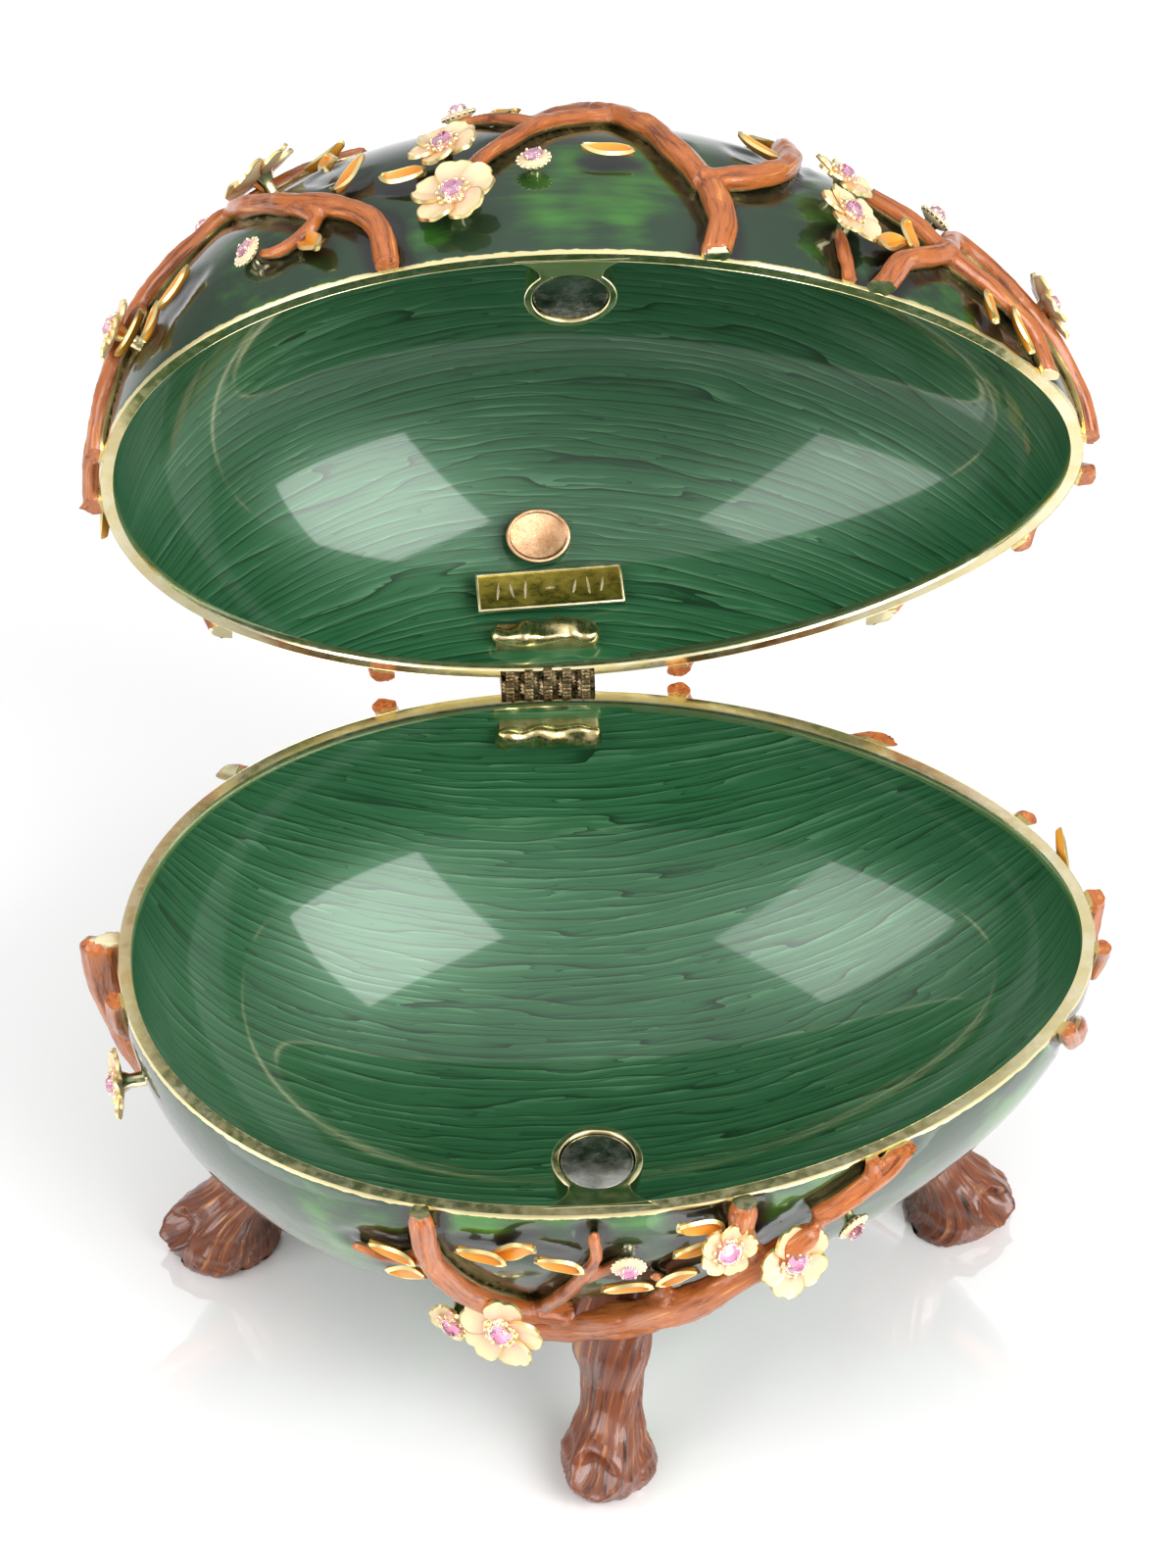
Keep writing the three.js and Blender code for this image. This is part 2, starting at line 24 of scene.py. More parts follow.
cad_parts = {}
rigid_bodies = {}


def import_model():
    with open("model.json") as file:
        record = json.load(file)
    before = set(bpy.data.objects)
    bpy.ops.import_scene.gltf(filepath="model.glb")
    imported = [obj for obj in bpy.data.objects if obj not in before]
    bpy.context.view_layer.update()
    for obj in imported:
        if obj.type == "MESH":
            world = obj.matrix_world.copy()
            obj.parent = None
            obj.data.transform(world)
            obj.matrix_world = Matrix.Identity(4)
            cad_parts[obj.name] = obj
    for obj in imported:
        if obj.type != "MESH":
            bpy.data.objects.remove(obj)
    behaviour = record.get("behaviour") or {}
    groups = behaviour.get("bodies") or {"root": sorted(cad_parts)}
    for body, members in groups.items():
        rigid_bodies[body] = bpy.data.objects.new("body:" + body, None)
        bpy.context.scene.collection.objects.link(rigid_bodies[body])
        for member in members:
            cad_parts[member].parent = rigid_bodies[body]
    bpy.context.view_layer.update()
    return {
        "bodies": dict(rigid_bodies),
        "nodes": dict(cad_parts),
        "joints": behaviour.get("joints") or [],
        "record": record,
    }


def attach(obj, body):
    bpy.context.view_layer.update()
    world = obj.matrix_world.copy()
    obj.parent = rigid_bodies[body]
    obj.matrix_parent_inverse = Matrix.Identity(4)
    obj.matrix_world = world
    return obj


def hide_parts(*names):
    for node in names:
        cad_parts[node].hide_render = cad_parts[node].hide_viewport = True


LOG = logging.getLogger("egg_box")
MM = 0.001
HINGE_X, HINGE_Y = -5 * MM, 46 * MM
FACING = 0.9
VIEW_MIDDLE = Vector((-2.53 * MM, 0, 27.16 * MM))
BEARINGS = tuple[tuple[float, float], ...]


class Half(Enum):
    """The two halves of the egg, by the side of the rim that they are on."""

    BASE = -1
    LID = 1

    @property
    def body(self) -> str:
        """The CAD body that the half rides on."""
        return self.name.lower()


class Slot(Enum):
    """The record's material slots."""

    SHELL = "enamelled_shell"
    BARK = "bark_enamel"
    PETAL = "petal_enamel"
    STONE = "pink_stone"
    HINGE = "antique_gold"
    PLATE = "olive_brass"
    MEDALLION = "rose_copper"
    MAGNET = "nickel"


# ------------------------------------------------------------------ the workbench


def only(*objects: bpy.types.Object) -> None:
    """Selects these objects alone, the first of them active.

    Args:
        objects: what to select.
    """
    bpy.ops.object.select_all(action="DESELECT")
    for piece in objects:
        piece.select_set(True)
    bpy.context.view_layer.objects.active = objects[0]


def fresh() -> None:
    """Leaves nothing selected, ready for a new primitive."""
    bpy.ops.object.select_all(action="DESELECT")


@contextmanager
def editing(piece: bpy.types.Object, everything: bool = True) -> Iterator[None]:
    """Edit mode on one piece.

    Args:
        piece: the object.
        everything: whether the whole of it is selected first.

    Returns:
        What the with statement needs.
    """
    only(piece)
    bpy.ops.object.mode_set(mode="EDIT")
    if everything:
        bpy.ops.mesh.select_all(action="SELECT")
    yield
    bpy.ops.object.mode_set(mode="OBJECT")


def pick_faces(piece: bpy.types.Object, wanted: Callable[[bmesh.types.BMFace], bool]) -> None:
    """Selects faces in edit mode.

    Args:
        piece: the object that is being edited.
        wanted: says of each face whether it is selected.
    """
    shaped = bmesh.from_edit_mesh(piece.data)
    for face in shaped.faces:
        face.select_set(wanted(face))
    shaped.select_flush_mode()
    bmesh.update_edit_mesh(piece.data)


def recess(
    piece: bpy.types.Object, facing: int, insets: tuple[float, ...], shift: float
) -> None:
    """Insets the faces that look up or down and moves the inner one.

    Args:
        piece: the object.
        facing: 1 for the faces that look up, -1 for those that look down.
        insets: the width of each border, from the edge inwards.
        shift: how far the inner face moves along Z.
    """
    with editing(piece, everything=False):
        pick_faces(piece, lambda face: face.normal.z * facing > FACING)
        for width in insets:
            bpy.ops.mesh.inset(thickness=width)
        bpy.ops.transform.translate(value=(0, 0, shift))


def modify(piece: bpy.types.Object, kind: str, **settings: object) -> None:
    """Adds a modifier and applies it.

    Args:
        piece: the object to change.
        kind: the modifier's type.
        settings: the modifier's values.
    """
    only(piece)
    modifier = piece.modifiers.new(kind.title(), kind)
    for key, value in settings.items():
        setattr(modifier, key, value)
    bpy.ops.object.modifier_apply(modifier=modifier.name)


def joined(pieces: list[bpy.types.Object], name: str) -> bpy.types.Object:
    """Joins objects into one.

    Args:
        pieces: the objects, which become one.
        name: the new name.

    Returns:
        The joined object.
    """
    only(*pieces)
    if len(pieces) > 1:
        bpy.ops.object.join()
    whole = pieces[0]
    whole.name = name
    whole.data.name = name
    return whole


def copied(piece: bpy.types.Object, matrix: Matrix) -> bpy.types.Object:
    """A copy with its own mesh, moved by a matrix.

    Args:
        piece: what to copy.
        matrix: where the copy goes.

    Returns:
        The copy.
    """
    only(piece)
    bpy.ops.object.duplicate(linked=False)
    twin = bpy.context.object
    twin.data.transform(matrix)
    return twin


def settled(piece: bpy.types.Object) -> bpy.types.Object:
    """Puts an object's place into its mesh.

    Args:
        piece: an object with a place, turn or scale of its own.

    Returns:
        The same object, at the origin.
    """
    only(piece)
    bpy.ops.object.transform_apply(location=True, rotation=True, scale=True)
    return piece


def added(primitive: Callable[..., object], **settings: object) -> bpy.types.Object:
    """Adds a primitive at its size and place.

    Args:
        primitive: the operator that adds it.
        settings: the operator's values.

    Returns:
        The new object, at the origin, with its place in its mesh.
    """
    fresh()
    primitive(**settings)
    return settled(bpy.context.object)


def recalculated(piece: bpy.types.Object, merge: float = 0.0) -> None:
    """Merges doubles and turns the faces of a closed mesh outwards.

    Args:
        piece: the object.
        merge: distance within which vertices are merged.
    """
    with editing(piece):
        if merge:
            bpy.ops.mesh.remove_doubles(threshold=merge)
        bpy.ops.mesh.normals_make_consistent(inside=False)


def smooth(piece: bpy.types.Object, angle: float = 40) -> None:
    """Shades an object smooth up to an angle.

    Args:
        piece: the object.
        angle: edges sharper than this many degrees stay sharp.
    """
    only(piece)
    bpy.ops.object.shade_smooth_by_angle(angle=math.radians(angle))


def paint(piece: bpy.types.Object, *materials: bpy.types.Material) -> None:
    """Gives an object these material slots in this order.

    Args:
        piece: the object.
        materials: its materials.
    """
    piece.data.materials.clear()
    for material in materials:
        piece.data.materials.append(material)


def finished(piece: bpy.types.Object, angle: float, *materials: bpy.types.Material) -> None:
    """Gives an object its materials and shades it smooth up to an angle in degrees."""
    paint(piece, *materials)
    smooth(piece, angle)


def record_values(piece: bpy.types.Object, name: str, values: list[float]) -> None:
    """Stores one number for each vertex.

    Args:
        piece: the object.
        name: the attribute's name.
        values: one number for each vertex.
    """
    attribute = piece.data.attributes.new(name, "FLOAT", "POINT")
    attribute.data.foreach_set("value", values)


def record_vectors(piece: bpy.types.Object, name: str, values: list[Vector]) -> None:
    """Stores one vector for each vertex.

    Args:
        piece: the object.
        name: the attribute's name.
        values: one vector for each vertex.
    """
    attribute = piece.data.attributes.new(name, "FLOAT_VECTOR", "POINT")
    flat = [number for vector in values for number in vector]
    attribute.data.foreach_set("vector", flat)


def moved(piece: bpy.types.Object, places: list[Vector]) -> None:
    """Puts every vertex at its new place in one go.

    Args:
        piece: the object.
        places: one place for each vertex.
    """
    piece.data.vertices.foreach_set("co", [number for place in places for number in place])
    piece.data.update()


def raised(piece: bpy.types.Object, heights: list[float]) -> None:
    """Moves every vertex along its normal.

    Args:
        piece: the object.
        heights: one height in metres for each vertex.
    """
    places = [v.co + v.normal * height for v, height in zip(piece.data.vertices, heights)]
    moved(piece, places)


def ripple(point: Vector, size: float, seed: float = 0.0) -> float:
    """Smooth noise from -1 to 1.

    Args:
        point: where, in metres.
        size: the size of its features, in metres.
        seed: shifts the pattern.

    Returns:
        The noise there.
    """
    return noise.noise(point / size + Vector((seed, seed * 0.7, -seed)))


def soften(low: float, high: float, value: float) -> float:
    """0 below low and 1 above high, with a smooth step between."""
    share = min(max((value - low) / (high - low), 0.0), 1.0)
    return share * share * (3 - 2 * share)


def between(a: Vector, b: Vector, c: Vector, d: Vector, t: float) -> Vector:
    """The point at share t of the way from b to c, on a curve through four knots."""
    lean = (c - a) * t + (a * 2 - b * 5 + c * 4 - d) * t * t
    bend = (b * 3 - a - c * 3 + d) * t**3
    return b + (lean + bend) * 0.5


def framed(along: Vector, rising: Vector, away: Vector, place: Vector) -> Matrix:
    """The frame with these three axes at a place."""
    matrix = Matrix((along, rising, away)).transposed().to_4x4()
    matrix.translation = place
    return matrix


def circling(angle: float, radius: float, height: float) -> tuple[float, float, float]:
    """A place on a ring round Z."""
    return math.cos(angle) * radius, math.sin(angle) * radius, height


def heading(azimuth: float, elevation: float) -> Vector:
    """The direction so many degrees from the front and above the floor."""
    around, rise = math.radians(azimuth), math.radians(elevation)
    level = math.cos(rise)
    return Vector((math.sin(around) * level, -math.cos(around) * level, math.sin(rise)))


# ------------------------------------------------------------------ the egg's form


@dataclass(frozen=True)
class EggForm:
    """The egg's surface, lying on its side, with its rims at height 0."""

    half_length: float = 60 * MM
    half_width: float = 44.7 * MM
    height_ratio: float = 0.93
    skew: tuple[float, float, float] = (-0.089, -0.019, -0.043)
    wall: float = 1.9 * MM
    parting: float = 0.3 * MM

    def fullness(self, c: float) -> float:
        """The factor on the width at a share c of the half length."""
        return 1 + self.skew[0] * c + self.skew[1] * c * c + self.skew[2] * c**3

    def outward(self, point: Vector) -> Vector:
        """The outward direction at a point of the surface."""
        high = self.half_width * self.height_ratio
        slope = Vector(
            (point.x / self.half_length**2, point.y / self.half_width**2, point.z / high**2)
        )
        return slope.normalized()

    def point(self, direction: Vector, lift: float = 0.0) -> Vector:
        """The surface's point in a direction.

        Args:
            direction: a unit vector of the sphere that the egg is drawn from.
            lift: height above the surface.

        Returns:
            The point in the egg's frame.
        """
        width = self.half_width * self.fullness(direction.x)
        place = Vector(
            (
                self.half_length * direction.x,
                width * direction.y,
                width * self.height_ratio * direction.z,
            )
        )
        return place + self.outward(place) * lift

    def at(self, turn: float, rise: float, lift: float = 0.0) -> Vector:
        """The surface's point by bearings.

        Args:
            turn: degrees round, 0 at the pointed end, 90 at the front, 270 at the hinge.
            rise: degrees up from the rim.
            lift: height above the surface.

        Returns:
            The point in the egg's frame.
        """
        around, upward = math.radians(turn), math.radians(rise)
        level = math.cos(upward)
        direction = Vector(
            (math.cos(around) * level, -math.sin(around) * level, math.sin(upward))
        )
        return self.point(direction, lift)

    def lift_of(self, point: Vector) -> float:
        """How far a point is above the surface, nearly."""
        c = min(max(point.x / self.half_length, -1.0), 1.0)
        width = self.half_width * self.fullness(c) * math.sqrt(max(1 - c * c, 1e-6))
        reach = math.hypot(point.y, point.z / self.height_ratio)
        away = self.outward(point)
        lean = math.hypot(away.y, away.z)
        beyond = max(abs(point.x) - self.half_length, 0.0)
        return (reach - width) * max(lean, 0.25) + beyond

    def standing(self, turn: float, rise: float, lift: float) -> Matrix:
        """The frame of a thing that stands on the egg.

        Args:
            turn: degrees round the egg.
            rise: degrees up from the rim.
            lift: height above the surface.

        Returns:
            A matrix whose Z points away from the egg and X round to the pointed end.
        """
        place = self.at(turn, rise, lift)
        away = self.outward(place)
        along = Vector((-place.y, place.x, 0)).normalized()
        rising = away.cross(along)
        return framed(along, rising, away, place)


@dataclass(frozen=True)
class Setting:
    """Where the closed egg's two halves go in the row frame."""

    origin: Vector
    hinge: Vector
    open_angle: float

    @classmethod
    def of(cls, frame: dict) -> "Setting":
        """Reads the setting from the frame's hinge.


        Returns:
            The setting.
        """
        joint = frame["joints"][0]
        hinge = Vector((HINGE_X, HINGE_Y, 0))
        origin = Vector(joint["pos_m"]) - hinge
        return cls(origin, hinge, math.radians(max(joint["range_deg"])))

    def matrix(self, half: Half) -> Matrix:
        """From the closed egg's frame to the row frame, for one half."""
        placed = Matrix.Translation(self.origin)
        if half is Half.BASE:
            return placed
        pin = Matrix.Translation(self.hinge)
        return placed @ pin @ Matrix.Rotation(-self.open_angle, 4, "X") @ pin.inverted()

    def seat(self, piece: bpy.types.Object, half: Half) -> None:
        """Moves a piece's mesh to its place in the row frame."""
        piece.data.transform(self.matrix(half))


# ------------------------------------------------------------------ finishes


class Recipe:
    """One material's node tree, built up from a Principled shader."""

    def __init__(self, name: str) -> None:
        """Starts an empty recipe of that name."""
        self.material = bpy.data.materials.new(name)
        self.material.use_nodes = True
        self.tree = self.material.node_tree
        self.shader = self.tree.nodes["Principled BSDF"]

    def node(self, kind: str, values: dict | None = None, **settings: object) -> bpy.types.Node:
        """Adds a node.

        Args:
            kind: the node's type, without its ShaderNode prefix.
            values: for each input, a constant or the socket that feeds it.
            settings: the node's own settings.

        Returns:
            The node.
        """
        made = self.tree.nodes.new("ShaderNode" + kind)
        for key, value in settings.items():
            setattr(made, key, value)
        for key, value in (values or {}).items():
            self.feed(made.inputs[key], value)
        return made

    def feed(self, socket: bpy.types.NodeSocket, value: object) -> None:
        """Sets a socket to a constant, or links it."""
        if isinstance(value, bpy.types.NodeSocket):
            self.tree.links.new(value, socket)
        else:
            socket.default_value = value

    def place(self, scale: tuple[float, float, float], source: str = "") -> bpy.types.NodeSocket:
        """Coordinates to draw a pattern on.

        Args:
            scale: repeats for each metre along X, Y and Z, or for each unit of the attribute.
            source: a vector attribute's name, or empty for the object's own coordinates.

        Returns:
            The scaled coordinates.
        """
        if source:
            start = self.node("Attribute", attribute_name=source).outputs["Vector"]
        else:
            start = self.node("TexCoord").outputs["Object"]
        return self.node("Mapping", {"Vector": start, "Scale": scale}).outputs["Vector"]

    def noise(self, where: bpy.types.NodeSocket, **values: float) -> bpy.types.NodeSocket:
        """Noise from 0 to 1 at these coordinates."""
        named = {key.title(): value for key, value in values.items()}
        return self.node("TexNoise", {"Vector": where, **named}).outputs["Fac"]

    def cloud(self, fineness: float, detail: float) -> bpy.types.NodeSocket:
        """Even noise from 0 to 1, with so many features for each metre."""
        return self.noise(self.place((fineness,) * 3), scale=1, detail=detail)

    def attribute(self, name: str) -> bpy.types.NodeSocket:
        """One number that the mesh carries."""
        return self.node("Attribute", attribute_name=name).outputs["Fac"]

    def maths(self, operation: str, *values: object) -> bpy.types.NodeSocket:
        """A sum on one or more values."""
        made = self.node("Math", operation=operation)
        for socket, value in zip(made.inputs, values):
            self.feed(socket, value)
        return made.outputs[0]

    def plus(self, first: object, second: object, share: float) -> bpy.types.NodeSocket:
        """The first value and a share of the second."""
        return self.maths("ADD", first, self.maths("MULTIPLY", second, share))

    def spread(
        self, value: object, low: float, high: float, start: float = 0.0, end: float = 1.0
    ) -> bpy.types.NodeSocket:
        """Maps low to high onto start to end, smoothly and held at both ends."""
        made = self.node(
            "MapRange",
            {
                "Value": value,
                "From Min": low,
                "From Max": high,
                "To Min": start,
                "To Max": end,
            },
            interpolation_type="SMOOTHSTEP",
        )
        return made.outputs["Result"]

    def shades(
        self, value: object, stops: list[tuple[float, tuple[float, float, float]]]
    ) -> bpy.types.NodeSocket:
        """Colours by value.

        Args:
            value: what picks the colour, from 0 to 1.
            stops: the place and the colour of each stop.

        Returns:
            The colour.
        """
        made = self.node("ValToRGB", {"Fac": value})
        ramp = made.color_ramp
        while len(ramp.elements) < len(stops):
            ramp.elements.new(0.5)
        for element, (place, colour) in zip(ramp.elements, stops):
            element.position = place
            element.color = (*colour, 1)
        return made.outputs["Color"]

    def blend(self, share: object, first: object, second: object) -> bpy.types.NodeSocket:
        """One colour or another by share."""
        made = self.node("Mix", data_type="RGBA")
        for index, value in ((0, share), (6, first), (7, second)):
            colour = (*value, 1) if isinstance(value, tuple) else value
            self.feed(made.inputs[index], colour)
        return made.outputs[2]

    def relief(self, height: object, distance: float, strength: float = 1.0) -> None:
        """Gives the shader a bump.

        Args:
            height: the pattern.
            distance: its depth in metres.
            strength: how much of it shows.
        """
        values = {"Height": height, "Distance": distance, "Strength": strength}
        self.feed(self.shader.inputs["Normal"], self.node("Bump", values).outputs["Normal"])

    def surface(self, **values: object) -> bpy.types.Material:
        """Sets the shader's own sockets and returns the finished material."""
        for key, value in values.items():
            socket = self.shader.inputs[key.replace("_", " ").title().replace("Ior", "IOR")]
            constant = (*value, 1) if isinstance(value, tuple) and len(value) == 3 else value
            self.feed(socket, constant)
        return self.material


@dataclass(frozen=True)
class TranslucentEnamel:
    """Green glass over engraved metal: bright where it is thin and near black where it pools."""

    deep: tuple = (0.0008, 0.005, 0.002)
    middle: tuple = (0.006, 0.040, 0.012)
    bright: tuple = (0.045, 0.23, 0.012)
    gold: tuple = (0.86, 0.74, 0.38)

    def make(self) -> bpy.types.Material:
        """Builds the outside's material."""
        mix = Recipe("translucent_green_enamel")
        streaks = mix.noise(mix.place((60, 420, 420)), scale=1, detail=5, roughness=0.6)
        patches = mix.plus(mix.cloud(70, 2), streaks, 0.45)
        ground = mix.blend(mix.spread(patches, 0.68, 0.98), self.middle, self.bright)
        pooled = mix.spread(mix.attribute("pool"), 0.0, 1.0)
        green = mix.blend(pooled, ground, self.deep)
        edge = mix.plus(mix.attribute("edge"), mix.cloud(700, 2), -0.5)
        enamelled = mix.spread(edge, 0.22, 0.32)
        colour = mix.blend(enamelled, self.gold, green)
        metallic = mix.spread(enamelled, 0.0, 1.0, 1.0, 0.5)
        mix.relief(streaks, 0.00012, 0.5)
        return mix.surface(
            base_color=colour,
            metallic=metallic,
            roughness=0.36,
            coat_weight=1.0,
            coat_roughness=0.03,
        )


@dataclass(frozen=True)
class MarbledEnamel:
    """Pearly green enamel, combed along the egg into dark and light swirls."""

    line: tuple = (0.003, 0.034, 0.010)
    dark: tuple = (0.007, 0.062, 0.019)
    middle: tuple = (0.021, 0.118, 0.043)
    light: tuple = (0.088, 0.235, 0.115)

    def combed(
        self, mix: Recipe, pace: float, stretch: tuple, swing: float, **grain: float
    ) -> bpy.types.NodeSocket:
        """Saw-toothed lines along the egg.

        Args:
            mix: the recipe.
            pace: lines for each mm across the egg.
            stretch: the size of the sway along X, Y and Z.
            swing: how many lines the sway shifts.
            grain: the sway's own detail.

        Returns:
            0 to 1 across each line.
        """
        comb = mix.node("Attribute", attribute_name="comb").outputs["Vector"]
        across = mix.node("SeparateXYZ", {"Vector": comb}).outputs["Y"]
        sway = mix.noise(mix.place(stretch, "comb"), scale=1, distortion=0.35, **grain)
        return mix.maths("FRACT", mix.plus(mix.maths("MULTIPLY", across, pace), sway, swing))

    def make(self) -> bpy.types.Material:
        """Builds the inside's material."""
        mix = Recipe("marbled_green_enamel")
        streak = self.combed(mix, 0.62, (0.020, 0.13, 0.13), 6.5, detail=2.2, roughness=0.5)
        thread = self.combed(mix, 0.95, (0.038, 0.30, 0.30), 5, detail=3, roughness=0.55)
        clouds = mix.noise(mix.place((0.05, 0.1, 0.1), "comb"), scale=1, detail=3)
        tone = mix.plus(mix.maths("MULTIPLY", streak, 0.36), thread, 0.26)
        mixed = mix.plus(tone, clouds, 0.5)
        crests = (mix.spread(streak, 0.0, 0.16), mix.spread(thread, -0.06, 0.12))
        crest = mix.maths("MULTIPLY", *crests)
        body = mix.shades(
            mixed,
            [(0.3, self.dark), (0.5, self.middle), (0.66, self.middle), (0.9, self.light)],
        )
        colour = mix.blend(crest, self.line, body)
        return mix.surface(
            base_color=colour,
            metallic=0.25,
            roughness=0.36,
            coat_weight=0.8,
            coat_roughness=0.06,
        )


@dataclass(frozen=True)
class PolishedGold:
    """Pale gold plate: bright on rims, with faint wear and a grain from casting."""

    name: str = "polished_pale_gold"
    colour: tuple = (0.98, 0.90, 0.62)
    shade: tuple = (0.90, 0.79, 0.44)
    roughness: float = 0.13
    grain: float = 0.00004

    def make(self) -> bpy.types.Material:
        """Builds the metal."""
        mix = Recipe(self.name)
        cloud = mix.cloud(240, 2)
        pits = mix.cloud(900, 2)
        colour = mix.blend(mix.spread(cloud, 0.35, 0.7), self.shade, self.colour)
        rough = mix.spread(pits, 0.3, 0.75, self.roughness, self.roughness + 0.1)
        mix.relief(cloud, self.grain, 0.6)
        return mix.surface(base_color=colour, metallic=1.0, roughness=rough)


@dataclass(frozen=True)
class BarkEnamel:
    """Enamel on bark, with grain along the limb and bare gold where it meets the ground."""

    name: str = "orange_bark_enamel"
    dark: tuple = (0.17, 0.038, 0.008)
    middle: tuple = (0.46, 0.125, 0.024)
    light: tuple = (0.74, 0.30, 0.075)
    gold: tuple = (0.85, 0.64, 0.24)
    bare: float = 0.5
    stretch: tuple = (0.16, 1.7, 1.7)

    def make(self) -> bpy.types.Material:
        """Builds the bark."""
        mix = Recipe(self.name)
        along = mix.place(self.stretch, "grain")
        grain = mix.noise(along, scale=1, detail=5, roughness=0.62, distortion=0.6)
        wide = mix.cloud(160, 2)
        tone = mix.plus(mix.maths("MULTIPLY", grain, 0.8), wide, 0.22)
        wood = mix.shades(
            tone,
            [(0.38, self.dark), (0.49, self.middle), (0.57, self.middle), (0.68, self.light)],
        )
        height = mix.plus(mix.attribute("height"), wide, -0.5)
        covered = mix.spread(height, self.bare - 0.32, self.bare - 0.2)
        colour = mix.blend(covered, self.gold, wood)
        metallic = mix.spread(covered, 0.0, 1.0, 1.0, 0.0)
        mix.relief(grain, 0.00022, 0.7)
        return mix.surface(
            base_color=colour,
            metallic=metallic,
            roughness=0.32,
            coat_weight=0.55,
            coat_roughness=0.08,
        )


@dataclass(frozen=True)
class EdgedEnamel:
    """Enamel in a thin cell of gold, its colour going from the heart to the edge."""

    name: str = "petal_cream_enamel"
    heart: tuple = (0.66, 0.16, 0.14)
    inner: tuple = (0.84, 0.50, 0.36)
    outer: tuple = (0.86, 0.68, 0.40)
    gold: tuple = (0.92, 0.76, 0.34)
    cell: float = 0.93

    def make(self) -> bpy.types.Material:
        """Builds the enamel with its edge."""
        mix = Recipe(self.name)
        edge = mix.attribute("edge")
        cloud = mix.cloud(420, 3)
        tone = mix.plus(mix.attribute("bloom"), cloud, 0.22)
        colour = mix.shades(
            tone,
            [(0.26, self.heart), (0.46, self.inner), (0.86, self.outer), (1.0, self.outer)],
        )
        rim = mix.spread(edge, self.cell, self.cell + 0.035)
        mix.relief(cloud, 0.0001, 0.5)
        return mix.surface(
            base_color=mix.blend(rim, colour, self.gold),
            metallic=mix.spread(rim, 0.0, 1.0),
            roughness=0.36,
            coat_weight=0.35,
            coat_roughness=0.12,
        )


@dataclass(frozen=True)
class CutStone:
    """Pink crystal, clear enough to show the bright cup under it."""

    tint: tuple = (1.0, 0.60, 0.80)

    def make(self) -> bpy.types.Material:
        """Builds the crystal."""
        mix = Recipe("pink_crystal")
        flaws = mix.cloud(900, 2)
        pale = tuple(1 - 0.7 * (1 - share) for share in self.tint)
        colour = mix.blend(mix.spread(flaws, 0.3, 0.7), self.tint, pale)
        return mix.surface(
            base_color=colour,
            roughness=0.02,
            ior=1.6,
            transmission_weight=0.85,
            specular_ior_level=0.8,
        )


@dataclass(frozen=True)
class AgedMetal:
    """Bare metal with wear: a lighter face, a darker hollow and fine scratches."""

    name: str
    face: tuple
    hollow: tuple
    roughness: float = 0.28
    scratch: tuple = (900, 90, 900)
    lumps: float = 0.0

    def make(self) -> bpy.types.Material:
        """Builds the metal."""
        mix = Recipe(self.name)
        wear = mix.noise(mix.place((330, 330, 330)), scale=1, detail=5, roughness=0.6)
        fine = mix.noise(mix.place(self.scratch), scale=1.4, detail=4, roughness=0.7)
        colour = mix.blend(mix.spread(wear, 0.36, 0.66), self.hollow, self.face)
        rough = mix.spread(fine, 0.3, 0.7, self.roughness, self.roughness + 0.2)
        both = mix.plus(mix.maths("MULTIPLY", fine, 0.35), wear, self.lumps)
        mix.relief(both, 0.00008, 0.5)
        return mix.surface(base_color=colour, metallic=1.0, roughness=rough)


def made(finish: object) -> bpy.types.Material:
    """A field that holds a finish's material, built with its owner."""
    return field(default_factory=finish.make)


@dataclass
class Finishes:
    """Every finish of the box, made once."""

    ground: bpy.types.Material = made(TranslucentEnamel())
    lining: bpy.types.Material = made(MarbledEnamel())
    gold: bpy.types.Material = made(PolishedGold())
    bark: bpy.types.Material = made(BarkEnamel())
    trunk: bpy.types.Material = made(
        BarkEnamel(
            name="brown_trunk_enamel",
            dark=(0.045, 0.011, 0.004),
            middle=(0.19, 0.048, 0.015),
            light=(0.52, 0.20, 0.055),
            bare=-5.0,
            stretch=(0.13, 1.7, 1.7),
        )
    )
    petal: bpy.types.Material = made(EdgedEnamel())
    leaf: bpy.types.Material = made(
        EdgedEnamel(
            name="amber_leaf_enamel",
            heart=(0.42, 0.10, 0.008),
            inner=(0.66, 0.21, 0.012),
            outer=(0.78, 0.32, 0.025),
            cell=0.9,
        )
    )
    stone: bpy.types.Material = made(CutStone())
    foil: bpy.types.Material = made(
        PolishedGold("rosy_foil", (1.0, 0.78, 0.86), (0.95, 0.6, 0.74), 0.12)
    )
    hinge: bpy.types.Material = made(
        AgedMetal("antique_gold", (0.86, 0.66, 0.36), (0.56, 0.38, 0.17))
    )
    solder: bpy.types.Material = made(
        AgedMetal("gold_solder", (0.90, 0.76, 0.42), (0.52, 0.42, 0.18), 0.16, lumps=1.4)
    )
    nickel: bpy.types.Material = made(
        AgedMetal("dark_nickel", (0.42, 0.42, 0.39), (0.22, 0.22, 0.20), 0.14, (300, 500, 500))
    )
    brass: bpy.types.Material = made(
        AgedMetal("olive_brass", (0.36, 0.28, 0.05), (0.24, 0.19, 0.03), 0.24, (400, 700, 700))
    )
    strokes: bpy.types.Material = made(
        AgedMetal("bright_strokes", (0.95, 0.82, 0.55), (0.82, 0.66, 0.36))
    )
    copper: bpy.types.Material = made(
        AgedMetal("rose_copper", (0.74, 0.44, 0.25), (0.48, 0.26, 0.13), 0.28, (1600, 1600, 1600), 1.0)
    )


# ------------------------------------------------------------------ branches in relief


@dataclass(frozen=True)
class Limb:
    """One branch or twig: its thickness along it in mm, and the bearings that it runs through."""

    radii: tuple[float, ...]
    path: BEARINGS
    tall: float = 1.0
    sink: float = 0.55


